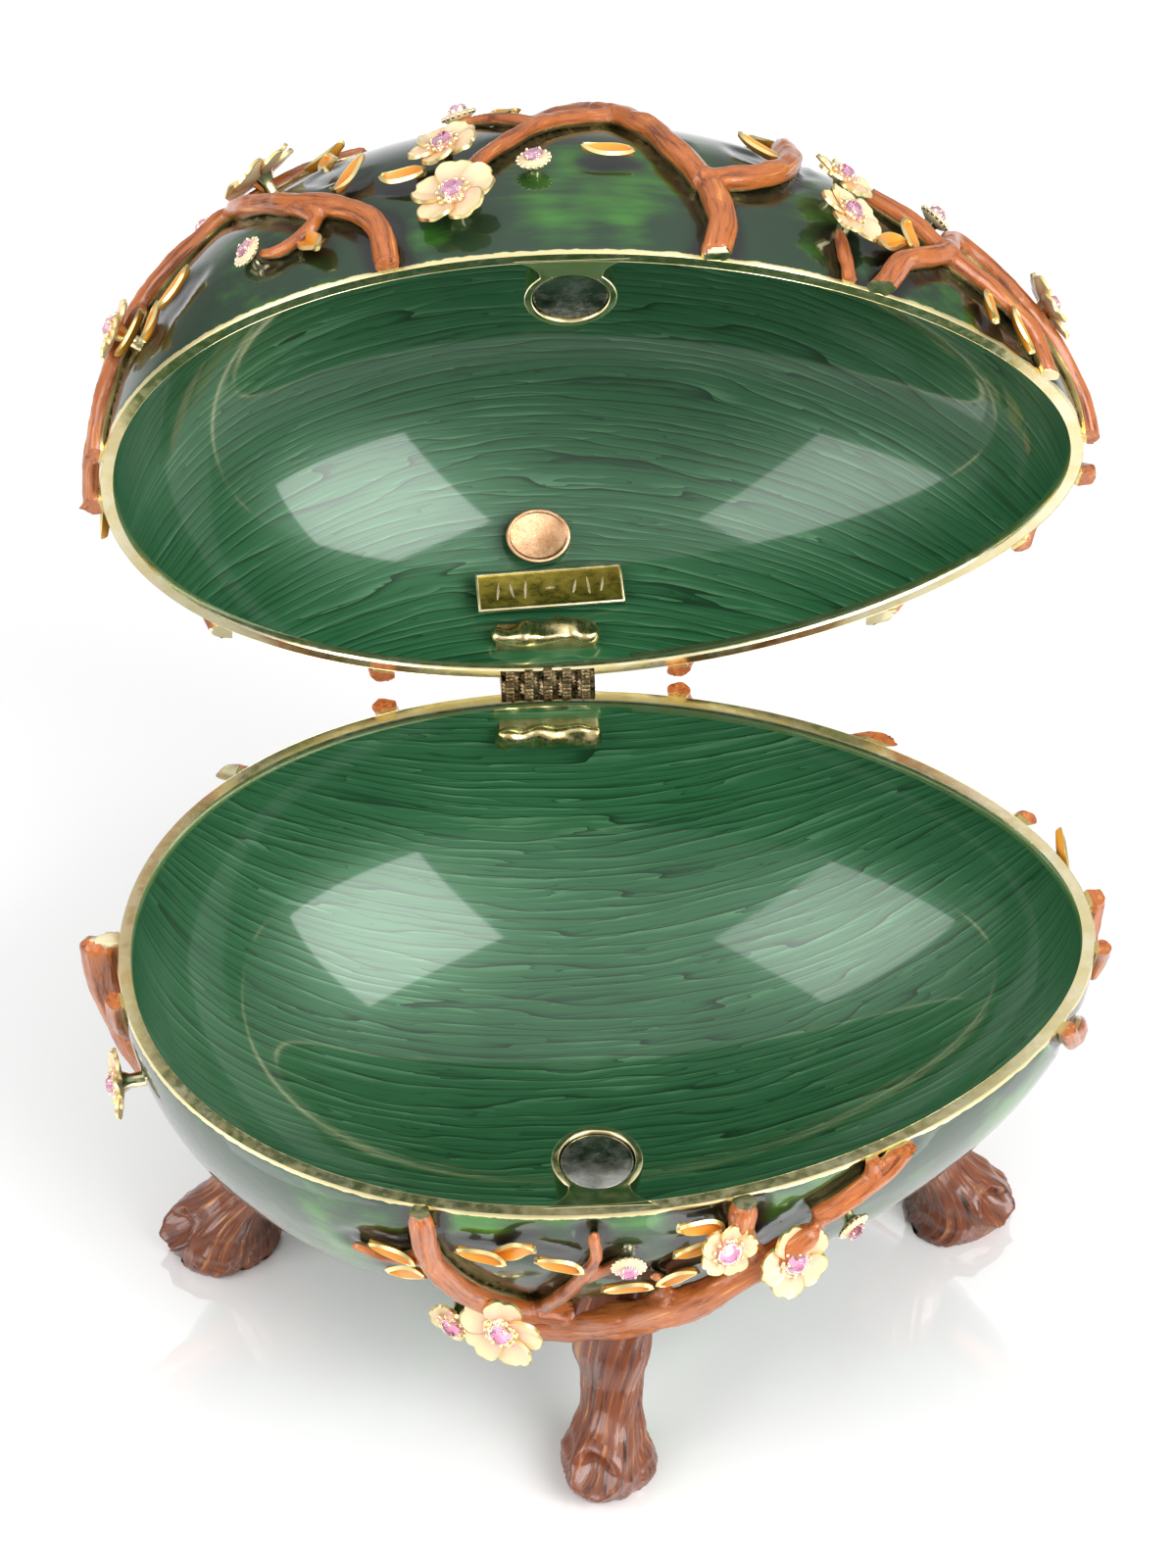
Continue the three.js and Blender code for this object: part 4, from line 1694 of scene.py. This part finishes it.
    def bud(self, finishes: Finishes) -> bpy.types.Object:
        """A small round cup with a beaded edge, its foot at height 0."""
        radius = self.bud_radius
        cushion = added(
            bpy.ops.mesh.primitive_uv_sphere_add,
            segments=28, ring_count=14, radius=1, scale=(radius, radius, 0.75 * MM)
        )
        blooms = [0.3 + 0.5 * v.co.xy.length / radius for v in cushion.data.vertices]
        record_values(cushion, "bloom", blooms)
        record_values(cushion, "edge", [0.0] * len(blooms))
        cushion.data.transform(Matrix.Translation((0, 0, self.bud_lift - 0.4 * MM)))
        finished(cushion, 80, finishes.petal, finishes.gold)
        parts = [cushion]
        height = self.bud_lift - 0.3 * MM
        parts += self.beading(self.bud_beads, radius, height, self.bead * 1.1, finishes)
        parts.append(self.calyx(self.bud_lift - 0.5 * MM, 0.8 * MM, 1.5 * MM, finishes))
        return joined(parts, "bud_pattern")


# ------------------------------------------------------------------ legs


@dataclass(frozen=True)
class TrunkLeg:
    """One leg: a twisted trunk with a knot on its foot, in mm in the egg's frame."""

    top: tuple[float, float]
    knee: tuple[float, float]
    foot: tuple[float, float]
    knot: float
    wide: float = 1.0


LEGS = {
    "leg_front": TrunkLeg((-1.6, -29), (-1, -35.5), (-2, -41), 250),
    "leg_left": TrunkLeg((-36, 0), (-43, -0.5), (-48.3, -1), 200, 1.15),
    "leg_right": TrunkLeg((33, 1), (39.5, 0), (44.6, -0.6), 320, 1.15),
    "leg_back": TrunkLeg((-2, 29), (-2.5, 35.5), (-2.5, 41), 60),
}


@dataclass
class LegWork:
    """Trunks with grain that winds round them down to the floor."""

    form: EggForm
    floor: float = -50.5 * MM
    sides: int = 120
    rings: int = 150
    profile: tuple = (5.2, 5.5, 5.0, 3.9, 3.7, 4.5, 5.5, 5.9, 5.4)
    heights: tuple = (-22, -37, -46, -51.3)
    knot_height: float = 5 * MM
    knot_radius: float = 2.9 * MM
    sunk: float = 0.9 * MM
    twist: float = 2.2
    ridges: int = 3

    def middle(self, leg: TrunkLeg, share: float) -> Vector:
        """The trunk's middle line from the top at 0 to the floor at 1."""
        steps = (leg.top, leg.knee, leg.foot, leg.foot)
        points = [Vector((*step, height)) for step, height in zip(steps, self.heights)]
        place = share * 3
        low = min(int(place), 2)
        t = place - low
        b, c = points[low], points[low + 1]
        a = points[low - 1] if low else b * 2 - c
        d = points[low + 2] if low < 2 else c * 2 - b
        return between(a, b, c, d, t) * MM

    def radius(self, leg: TrunkLeg, share: float) -> float:
        """The trunk's plain radius."""
        place = share * (len(self.profile) - 1)
        low = min(int(place), len(self.profile) - 2)
        step = soften(0, 1, place - low)
        plain = self.profile[low] + (self.profile[low + 1] - self.profile[low]) * step
        return plain * leg.wide * MM

    def build(self, name: str, leg: TrunkLeg, finishes: Finishes) -> bpy.types.Object:
        """One leg.

        Args:
            name: the CAD node that it stands for.
            leg: its form.
            finishes: the materials.

        Returns:
            The leg in the egg's frame.
        """
        trunk = added(
            bpy.ops.mesh.primitive_cylinder_add,
            vertices=self.sides, radius=1, depth=1, end_fill_type="TRIFAN"
        )
        with editing(trunk, everything=False):
            shaped = bmesh.from_edit_mesh(trunk.data)
            tall = [e for e in shaped.edges if abs(e.verts[0].co.z - e.verts[1].co.z) > 0.5]
            bmesh.ops.subdivide_edges(shaped, edges=tall, cuts=self.rings, use_grid_fill=True)
            bmesh.update_edit_mesh(trunk.data)
        facing = math.radians(leg.knot)
        grains = []
        for vertex in trunk.data.vertices:
            share = min(max(0.5 - vertex.co.z, 0.0), 1.0)
            reach = min(vertex.co.xy.length, 1.0)
            angle = math.atan2(vertex.co.y, vertex.co.x)
            centre = self.middle(leg, share)
            radius = self.radius(leg, share)
            wound = angle + self.twist * share + 0.35 * math.sin(5 * share)
            streak = Vector((math.cos(wound) * 3.2, math.sin(wound) * 3.2, share * 2.4 + leg.knot))
            ridge = 0.07 * math.cos(self.ridges * wound + 1.2 * share)
            ridge += 0.05 * noise.noise(streak * 1.3)
            ridge += 0.06 * noise.noise(Vector((streak.x * 2.6, streak.y * 2.6, streak.z * 1.2)))
            ridge += 0.025 * noise.noise(Vector((streak.x * 6, streak.y * 6, streak.z * 2)))
            turned = (angle - facing + math.pi) % (2 * math.pi) - math.pi
            sideways = turned * radius
            height = centre.z - self.floor - self.knot_height
            away = math.hypot(sideways, height)
            lip = math.exp(-(((away - self.knot_radius * 0.82) / (0.75 * MM)) ** 2))
            bowl = 1 - soften(0.2 * MM, self.knot_radius * 0.8, away)
            burl = 1 - soften(self.knot_radius * 0.7, self.knot_radius * 1.9, away)
            extra = (0.95 * lip + 0.9 * burl - 1.3 * bowl) * MM
            size = radius * (1 + ridge) + extra
            place = centre + Vector((math.cos(angle), math.sin(angle), 0)) * size * reach
            place.z = max(place.z, self.floor)
            lift = self.form.lift_of(place)
            if lift < -self.sunk:
                place += self.form.outward(place) * (-self.sunk - lift)
            vertex.co = place
            ring = 2.5 * away / MM if away < self.knot_radius else 0.0
            grains.append(Vector((share * 30 + ring, math.cos(wound) * 5, math.sin(wound) * 5)))
        record_vectors(trunk, "grain", grains)
        record_values(trunk, "height", [9.0] * len(trunk.data.vertices))
        recalculated(trunk, 0.02 * MM)
        finished(trunk, 70, finishes.trunk)
        trunk.name = name.replace("leg", "trunk")
        return trunk


# ------------------------------------------------------------------ hinge, magnets and plates


@dataclass
class HingeWork:
    """A five-knuckle hinge with its leaves soldered to the rims."""

    x: float = HINGE_X
    y: float = HINGE_Y
    knuckles: int = 5
    length: float = 2.1 * MM
    gap: float = 0.3 * MM
    radius: float = 2.8 * MM
    bore: float = 1.15 * MM
    leaf_gap: float = 3.1 * MM
    leaf_deep: float = 2.9 * MM
    leaf_half: float = 6.4 * MM
    seat_in: float = 5.2 * MM
    seat_up: float = 1.1 * MM
    seat_size: tuple = (1.9 * MM, 2.2 * MM, 2.9 * MM)
    seat_lumps: float = 0.8 * MM
    reach: tuple[float, float] = (5.4 * MM, 0.8 * MM)

    @property
    def barrel(self) -> float:
        """The barrel's whole length."""
        return self.knuckles * self.length + (self.knuckles - 1) * self.gap

    def start(self, index: int) -> float:
        """Where a knuckle begins along the pin."""
        return self.x - self.barrel / 2 + index * (self.length + self.gap)

    def block(self, low: Vector, high: Vector, bevel: float) -> bpy.types.Object:
        """A box between two corners with round edges."""
        box = added(
            bpy.ops.mesh.primitive_cube_add, size=1, location=(low + high) / 2, scale=high - low
        )
        modify(box, "BEVEL", width=bevel, segments=3)
        return box

    def knuckle(self, index: int) -> bpy.types.Object:
        """One knuckle, with a wide chamfer at both ends."""
        start = self.start(index)
        ring = added(
            bpy.ops.mesh.primitive_cylinder_add,
            vertices=40,
            radius=self.radius,
            depth=self.length,
            location=(start + self.length / 2, self.y, 0),
            rotation=(0, math.pi / 2, 0),
        )
        with editing(ring, everything=False):
            pick_faces(ring, lambda face: abs(face.normal.x) > FACING)
            bpy.ops.mesh.inset(thickness=self.radius - self.bore, use_individual=True)
        modify(ring, "BEVEL", width=0.22 * MM, segments=3, limit_method="ANGLE")
        return ring

    def leaf(self, half: Half, indexes: tuple[int, ...], finishes: Finishes) -> bpy.types.Object:
        """One half's leaf, with its knuckles and solder.

        Args:
            half: which half it is fixed to.
            indexes: the knuckles that belong to it.
            finishes: the materials.

        Returns:
            The leaf in the closed egg's frame.
        """
        up = half.value
        side = self.leaf_half
        near, far = up * self.leaf_gap, up * (self.leaf_gap + self.leaf_deep)
        low = Vector((self.x - side, self.y - self.reach[0], min(near, far)))
        high = Vector((self.x + side, self.y + self.reach[1], max(near, far)))
        parts = [self.block(low, high, 0.5 * MM)]
        for index in indexes:
            parts.append(self.knuckle(index))
            start = self.start(index)
            inner, outer = up * 1.4 * MM, up * (self.leaf_gap + 1.2 * MM)
            web_low = Vector((start, self.y - 2.75 * MM, min(inner, outer)))
            web_high = Vector((start + self.length, self.y - 0.6 * MM, max(inner, outer)))
            parts.append(self.block(web_low, web_high, 0.2 * MM))
        for part in parts:
            paint(part, finishes.hinge, finishes.solder)
        parts.append(self.seat(half, finishes))
        leaf = joined(parts, f"hinge_{half.body}_plate")
        smooth(leaf, 35)
        return leaf

    def seat(self, half: Half, finishes: Finishes) -> bpy.types.Object:
        """The lumpy solder that holds a leaf to the wall."""
        up = half.value
        seat = added(
            bpy.ops.mesh.primitive_cube_add,
            size=1,
            location=(self.x, self.y - self.seat_in, up * (self.leaf_gap + self.seat_up)),
            scale=(self.barrel + self.seat_size[0], *self.seat_size[1:]),
        )
        with editing(seat):
            bpy.ops.mesh.bevel(offset=1.0 * MM, segments=3, affect="EDGES")
            bpy.ops.mesh.subdivide(number_cuts=4)
        modify(seat, "REMESH", mode="VOXEL", voxel_size=0.3 * MM)
        lumps = [ripple(v.co, 2.2 * MM, 4.0) * self.seat_lumps for v in seat.data.vertices]
        raised(seat, lumps)
        modify(seat, "SMOOTH", factor=0.5, iterations=3)
        paint(seat, finishes.solder)
        return seat

    def pin(self, finishes: Finishes) -> bpy.types.Object:
        """The pin, with domed ends."""
        pin = added(
            bpy.ops.mesh.primitive_cylinder_add,
            vertices=24,
            radius=0.95 * MM,
            depth=self.barrel - 0.4 * MM,
            location=(self.x, self.y, 0),
            rotation=(0, math.pi / 2, 0),
        )
        modify(pin, "BEVEL", width=0.35 * MM, segments=3, limit_method="ANGLE")
        finished(pin, 40, finishes.hinge)
        pin.name = "hinge_rod"
        return pin


@dataclass
class MagnetWork:
    """A magnet in each rim, in a gold boss that grows out of the rim on a neck."""

    form: EggForm
    x: float = -3.3 * MM
    y: float = -35.9 * MM
    radius: float = 4.4 * MM
    thick: float = 2 * MM
    boss_radius: float = 5.5 * MM
    boss_deep: float = 5 * MM
    boss_taper: float = 0.9
    clearance: float = 0.16 * MM
    magnet_inset: float = 0.28 * MM
    neck: float = 7.4 * MM

    def outline(self) -> list[Vector]:
        """The boss from above: a round head on a neck that flares into the rim."""
        front = self.y - 7.6 * MM
        points = []
        for index in range(41):
            angle = math.radians(-48 + 276 * index / 40)
            across = self.x + self.boss_radius * math.cos(angle)
            deep = self.y + self.boss_radius * math.sin(angle)
            points.append(Vector((across, deep, 0)))
        join = points[-1]
        for index in range(1, 9):
            share = index / 8
            across = join.x + (self.x - self.neck - join.x) * share**1.8
            deep = join.y + (front - join.y) * share**0.75
            points.append(Vector((across, deep, 0)))
        mirror = [Vector((2 * self.x - point.x, point.y, 0)) for point in reversed(points[41:])]
        return points + mirror

    def boss(self, half: Half, finishes: Finishes) -> bpy.types.Object:
        """One boss with its pocket."""
        up = half.value
        level = up * (self.form.parting / 2 - 0.02 * MM)
        fresh()
        outline = self.outline()
        bpy.ops.mesh.primitive_circle_add(vertices=len(outline), radius=1, fill_type="NGON")
        boss = bpy.context.object
        for vertex, point in zip(boss.data.vertices, outline):
            vertex.co = (point.x, point.y, level)
        middle = (self.x, self.y - 4 * MM, 0)
        with editing(boss):
            bpy.ops.mesh.extrude_region_move(
                TRANSFORM_OT_translate={"value": (0, 0, up * self.boss_deep)}
            )
            bpy.ops.transform.resize(
                value=(self.boss_taper, self.boss_taper, 1), center_override=middle
            )
        recalculated(boss)
        cutter = added(
            bpy.ops.mesh.primitive_cylinder_add,
            vertices=72,
            radius=self.radius + self.clearance,
            depth=2 * (self.thick + 0.6 * MM),
            location=(self.x, self.y, 0),
        )
        modify(boss, "BOOLEAN", operation="DIFFERENCE", object=cutter, solver="EXACT")
        bpy.data.objects.remove(cutter)
        modify(boss, "BEVEL", width=0.22 * MM, segments=3, limit_method="ANGLE")
        finished(boss, 40, finishes.gold)
        boss.name = f"{half.body}_boss"
        return boss

    def magnet(self, half: Half, finishes: Finishes) -> bpy.types.Object:
        """One magnet disc with a turned edge."""
        up = half.value
        level = up * (self.form.parting / 2 + self.magnet_inset)
        disc = added(
            bpy.ops.mesh.primitive_cylinder_add,
            vertices=72,
            radius=self.radius,
            depth=self.thick,
            location=(self.x, self.y, level + up * self.thick / 2),
        )
        recess(disc, -up, (0.42 * MM,), up * 0.1 * MM)
        modify(disc, "BEVEL", width=0.2 * MM, segments=3, limit_method="ANGLE")
        finished(disc, 30, finishes.nickel)
        disc.name = f"{half.body}_disc"
        return disc


@dataclass
class PlateWork:
    """The number plate and the bare medallion inside the lid, behind the hinge."""

    form: EggForm
    standoff: float = 2.1 * MM
    plate_size: tuple = (18.7 * MM, 5 * MM, 0.7 * MM)
    medallion_size: tuple = (8.2 * MM, 6.9 * MM, 0.7 * MM)
    leans: tuple = (0.18, -0.22, 0.1, 0.3, -0.1, 0.24)

    def stand(self, x: float, angle: float, thick: float, turn: float) -> Matrix:
        """The frame of a plate on the inner wall, its Z pointing out through the wall."""
        c = x * MM / self.form.half_length
        ring = math.sqrt(1 - c * c)
        swing = math.radians(angle)
        direction = Vector((c, -ring * math.cos(swing), ring * math.sin(swing)))
        place = self.form.point(direction, -self.form.wall - self.standoff - thick / 2)
        away = self.form.outward(place)
        along = (Vector((1, 0, 0)) - away * away.x).normalized()
        rising = away.cross(along)
        return framed(along, rising, away, place) @ Matrix.Rotation(math.radians(turn), 4, "Z")

    def number_plate(self, finishes: Finishes) -> bpy.types.Object:
        """A bevelled plate with a raised border and a row of shallow strokes."""
        length, height, thick = self.plate_size
        plate = added(bpy.ops.mesh.primitive_cube_add, size=1, scale=(length, height, thick))
        recess(plate, -1, (0.3 * MM, 0.12 * MM), 0.1 * MM)
        modify(plate, "BEVEL", width=0.07 * MM, segments=2, limit_method="ANGLE")
        paint(plate, finishes.brass, finishes.strokes)
        for face in plate.data.polygons:
            beside = abs(face.center.y) > height / 2 - 0.3 * MM
            if beside or abs(face.center.x) > length / 2 - 0.3 * MM:
                face.material_index = 1
        parts = [plate]
        for index, lean in enumerate(self.leans):
            group = -1 if index < 3 else 1
            place = group * 4.9 * MM + (index % 3 - 1) * 1.75 * MM
            tall = 2.4 * MM * (1 - 0.18 * (index % 2))
            parts.append(self.stroke(place, tall, lean, thick, finishes))
        parts.append(self.stroke(0.0, 1.3 * MM, math.pi / 2, thick, finishes))
        plate = joined(parts, "engraved_plate")
        smooth(plate, 30)
        plate.data.transform(self.stand(-4.5, 164.5, thick, -3.5))
        return plate

    def stroke(
        self, x: float, tall: float, lean: float, thick: float, finishes: Finishes
    ) -> bpy.types.Object:
        """One shallow stroke on the plate's face."""
        fresh()
        bpy.ops.mesh.primitive_cylinder_add(
            vertices=12,
            radius=0.5,
            depth=0.12 * MM,
            location=(x, 0, -thick / 2 + 0.08 * MM),
            rotation=(0, 0, lean),
        )
        stroke = bpy.context.object
        stroke.scale = (0.34 * MM, tall, 1)
        settled(stroke)
        modify(stroke, "BEVEL", width=0.03 * MM, segments=1, limit_method="ANGLE")
        paint(stroke, finishes.strokes)
        return stroke

    def medallion(self, finishes: Finishes) -> bpy.types.Object:
        """A bare oval with a low border and a stippled field."""
        length, height, thick = self.medallion_size
        fresh()
        bpy.ops.mesh.primitive_cylinder_add(vertices=72, radius=0.5, depth=thick)
        oval = bpy.context.object
        oval.scale = (length, height, 1)
        settled(oval)
        recess(oval, -1, (0.4 * MM, 0.15 * MM), 0.14 * MM)
        modify(oval, "BEVEL", width=0.08 * MM, segments=2, limit_method="ANGLE")
        finished(oval, 30, finishes.copper)
        oval.name = "oval_medallion"
        oval.data.transform(self.stand(-5.8, 154, thick, 0))
        return oval


# ------------------------------------------------------------------ the studio


@dataclass
class Studio:
    """A pale glossy floor, a soft box at either side, a pale sky and the camera."""

    target: Vector
    azimuth: float = -3.5
    elevation: float = 44.5
    roll: float = 0.43
    distance: float = 0.85
    lens: float = 163.0
    horizon: float = 0.3
    zenith: float = 1.15
    sensor: float = 36.0
    near_clip: float = 0.05
    floor_size: float = 6.0
    light_distance: float = 1.1
    lights: tuple = ((48, 34, (0.8, 0.8), 13), (-66, 30, (0.7, 0.8), 7))

    def camera(self) -> None:
        """Places the camera."""
        back = heading(self.azimuth, self.elevation)
        right = (-back).cross(Vector((0, 0, 1))).normalized()
        upward = right.cross(-back)
        lean = math.radians(self.roll)
        across = right * math.cos(lean) + upward * math.sin(lean)
        tall = upward * math.cos(lean) - right * math.sin(lean)
        fresh()
        bpy.ops.object.camera_add()
        camera = bpy.context.object
        camera.matrix_world = framed(across, tall, back, self.target + back * self.distance)
        camera.data.lens = self.lens
        camera.data.sensor_width = self.sensor
        camera.data.clip_start = self.near_clip
        bpy.context.scene.camera = camera

    def soft_box(self, azimuth: float, elevation: float, size: tuple, power: float) -> None:
        """A rectangular light that faces the object.

        Args:
            azimuth: degrees from the front, positive to the right.
            elevation: degrees above the floor.
            size: its width and height.
            power: its power in watts.
        """
        away = heading(azimuth, elevation)
        fresh()
        bpy.ops.object.light_add(type="AREA", location=self.target + away * self.light_distance)
        light = bpy.context.object
        light.data.shape = "RECTANGLE"
        light.data.size, light.data.size_y = size
        light.data.energy = power
        light.rotation_euler = away.to_track_quat("Z", "Y").to_euler()

    def floor(self) -> None:
        """A plain pale floor that mirrors faintly."""
        fresh()
        bpy.ops.mesh.primitive_plane_add(size=self.floor_size, location=(0, 0, 0))
        floor = bpy.context.object
        floor.name = "studio_floor"
        mix = Recipe("pale_gloss_floor")
        cloud = mix.cloud(3, 2)
        mix.surface(
            base_color=mix.blend(cloud, (0.93, 0.93, 0.94), (0.95, 0.95, 0.95)),
            roughness=0.05,
            coat_weight=1.0,
            coat_roughness=0.03,
            coat_ior=2.3,
        )
        paint(floor, mix.material)

    def build(self) -> None:
        """Sets everything up."""
        self.camera()
        self.floor()
        for azimuth, elevation, size, power in self.lights:
            self.soft_box(azimuth, elevation, size, power)
        world = bpy.data.worlds.new("studio")
        world.use_nodes = True
        tree = world.node_tree
        sky = tree.nodes["Background"]
        sky.inputs["Color"].default_value = (1, 1, 1, 1)
        look = tree.nodes.new("ShaderNodeTexCoord")
        split = tree.nodes.new("ShaderNodeSeparateXYZ")
        glow = tree.nodes.new("ShaderNodeMapRange")
        for key, value in (("From Min", 0.1), ("To Min", self.horizon), ("To Max", self.zenith)):
            glow.inputs[key].default_value = value
        tree.links.new(look.outputs["Generated"], split.inputs[0])
        tree.links.new(split.outputs["Z"], glow.inputs["Value"])
        tree.links.new(glow.outputs["Result"], sky.inputs["Strength"])
        bpy.context.scene.world = world
        bpy.context.scene.view_settings.view_transform = "Standard"


# ------------------------------------------------------------------ assembly


@dataclass
class EggBox:
    """The whole box."""

    setting: Setting
    finishes: Finishes
    form: EggForm = field(default_factory=EggForm)
    cup_rise: float = 0.85 * MM
    bud_cup_rise: float = 0.45 * MM
    bud_scale: float = 0.85
    count: int = 0

    def hand_over(
        self, piece: bpy.types.Object, half: Half, slot: Slot, *nodes: str
    ) -> None:
        """Seats a piece, lets it ride, and reports it.

        Args:
            piece: the piece in the closed egg's frame.
            half: the half that carries it.
            slot: its material slot in the record; not used.
            nodes: the CAD nodes that it stands for.
        """
        self.setting.seat(piece, half)
        piece.data.name = piece.name
        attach(piece, half.body)
        if nodes:
            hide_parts(*nodes)
        self.count += 1
        LOG.info("%s: %d faces on %s", piece.name, len(piece.data.polygons), half.body)

    def shells(self) -> None:
        """Both walls, their branches and their leaves."""
        branches = BranchWork(self.form)
        branches.build()
        foliage = Foliage(self.form)
        leaves = {half: foliage.build(half, self.finishes) for half in Half}
        ground = Ground(self.form)
        ground.learn([branches.casting, *leaves.values()])
        dome = EggHalf(self.form, Half.LID).dome()
        for half in Half:
            wall = EggHalf(self.form, half).build(dome, ground, self.finishes)
            limbs = branches.share(half, self.finishes)
            self.hand_over(wall, half, Slot.SHELL, f"{half.body}_shell")
            self.hand_over(limbs, half, Slot.SHELL)
            self.hand_over(leaves[half], half, Slot.SHELL)
        bpy.data.objects.remove(branches.casting)
        bpy.data.objects.remove(dome)

    def legs(self) -> None:
        """The four legs."""
        work = LegWork(self.form)
        for name, leg in LEGS.items():
            self.hand_over(work.build(name, leg, self.finishes), Half.BASE, Slot.BARK, name)

    def flowers(self) -> None:
        """Every blossom and bud with its stone."""
        stones = StoneWork()
        work = BlossomWork(self.form, stones)
        gem = stones.stone(self.finishes)
        cup = stones.cup(self.finishes)
        bud = work.bud(self.finishes)
        for name, place in BLOSSOMS.items():
            flower = work.flower(place.size, self.finishes)
            spin = Matrix.Rotation(math.radians(place.spin), 4, "Z")
            nod = Matrix.Rotation(-math.radians(place.nod), 4, "X")
            pivot = Matrix.Translation((0, 0, work.lift + place.proud * MM))
            stand = self.form.standing(place.turn, place.rise, 0)
            stand = stand @ pivot @ nod @ Matrix.Translation((0, 0, -work.lift)) @ spin
            top = stand @ Matrix.Translation((0, 0, work.lift + self.cup_rise))
            flower.data.transform(stand)
            setting = copied(cup, top)
            whole = joined([flower, setting], f"bloom_{name}")
            self.hand_over(whole, place.half, Slot.PETAL, f"blossom_{name}")
            jewel = copied(gem, top)
            jewel.name = f"jewel_{name}"
            self.hand_over(jewel, place.half, Slot.STONE, f"stone_{name}")
        for name, place in BUDS.items():
            stand = self.form.standing(place.turn, place.rise, 0)
            top = stand @ Matrix.Translation((0, 0, work.bud_lift + self.bud_cup_rise))
            shrunk = top @ Matrix.Scale(self.bud_scale, 4)
            whole = joined([copied(bud, stand), copied(cup, shrunk)], f"budding_{name}")
            self.hand_over(whole, place.half, Slot.PETAL)
            jewel = copied(gem, shrunk)
            jewel.name = f"bud_jewel_{name}"
            self.hand_over(jewel, place.half, Slot.STONE, f"bud_{name}")
        for pattern in (gem, cup, bud):
            bpy.data.objects.remove(pattern)

    def fittings(self) -> None:
        """Hinge, magnets and plates."""
        hinge = HingeWork()
        finishes = self.finishes
        base_leaf = hinge.leaf(Half.BASE, (1, 3), finishes)
        self.hand_over(base_leaf, Half.BASE, Slot.HINGE, "hinge_base_leaf")
        lid_leaf = hinge.leaf(Half.LID, (0, 2, 4), finishes)
        self.hand_over(lid_leaf, Half.LID, Slot.HINGE, "hinge_lid_leaf")
        self.hand_over(hinge.pin(finishes), Half.BASE, Slot.HINGE, "hinge_pin")
        magnets = MagnetWork(self.form)
        for half in Half:
            self.hand_over(magnets.boss(half, finishes), half, Slot.SHELL)
            disc = magnets.magnet(half, finishes)
            self.hand_over(disc, half, Slot.MAGNET, f"{half.body}_magnet")
        plates = PlateWork(self.form)
        plate = plates.number_plate(finishes)
        self.hand_over(plate, Half.LID, Slot.PLATE, "number_plate")
        medallion = plates.medallion(finishes)
        self.hand_over(medallion, Half.LID, Slot.MEDALLION, "maker_medallion")

    def build(self) -> None:
        """Builds every piece in order."""
        self.shells()
        self.legs()
        self.flowers()
        self.fittings()
        LOG.info("%d pieces", self.count)


def main() -> None:
    """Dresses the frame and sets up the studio."""
    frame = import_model()
    setting = Setting.of(frame)
    Studio(setting.origin + VIEW_MIDDLE).build()
    EggBox(setting, Finishes()).build()


if __name__ == "__main__":
    logging.basicConfig(level=logging.INFO, format="%(name)s %(message)s")
    main()
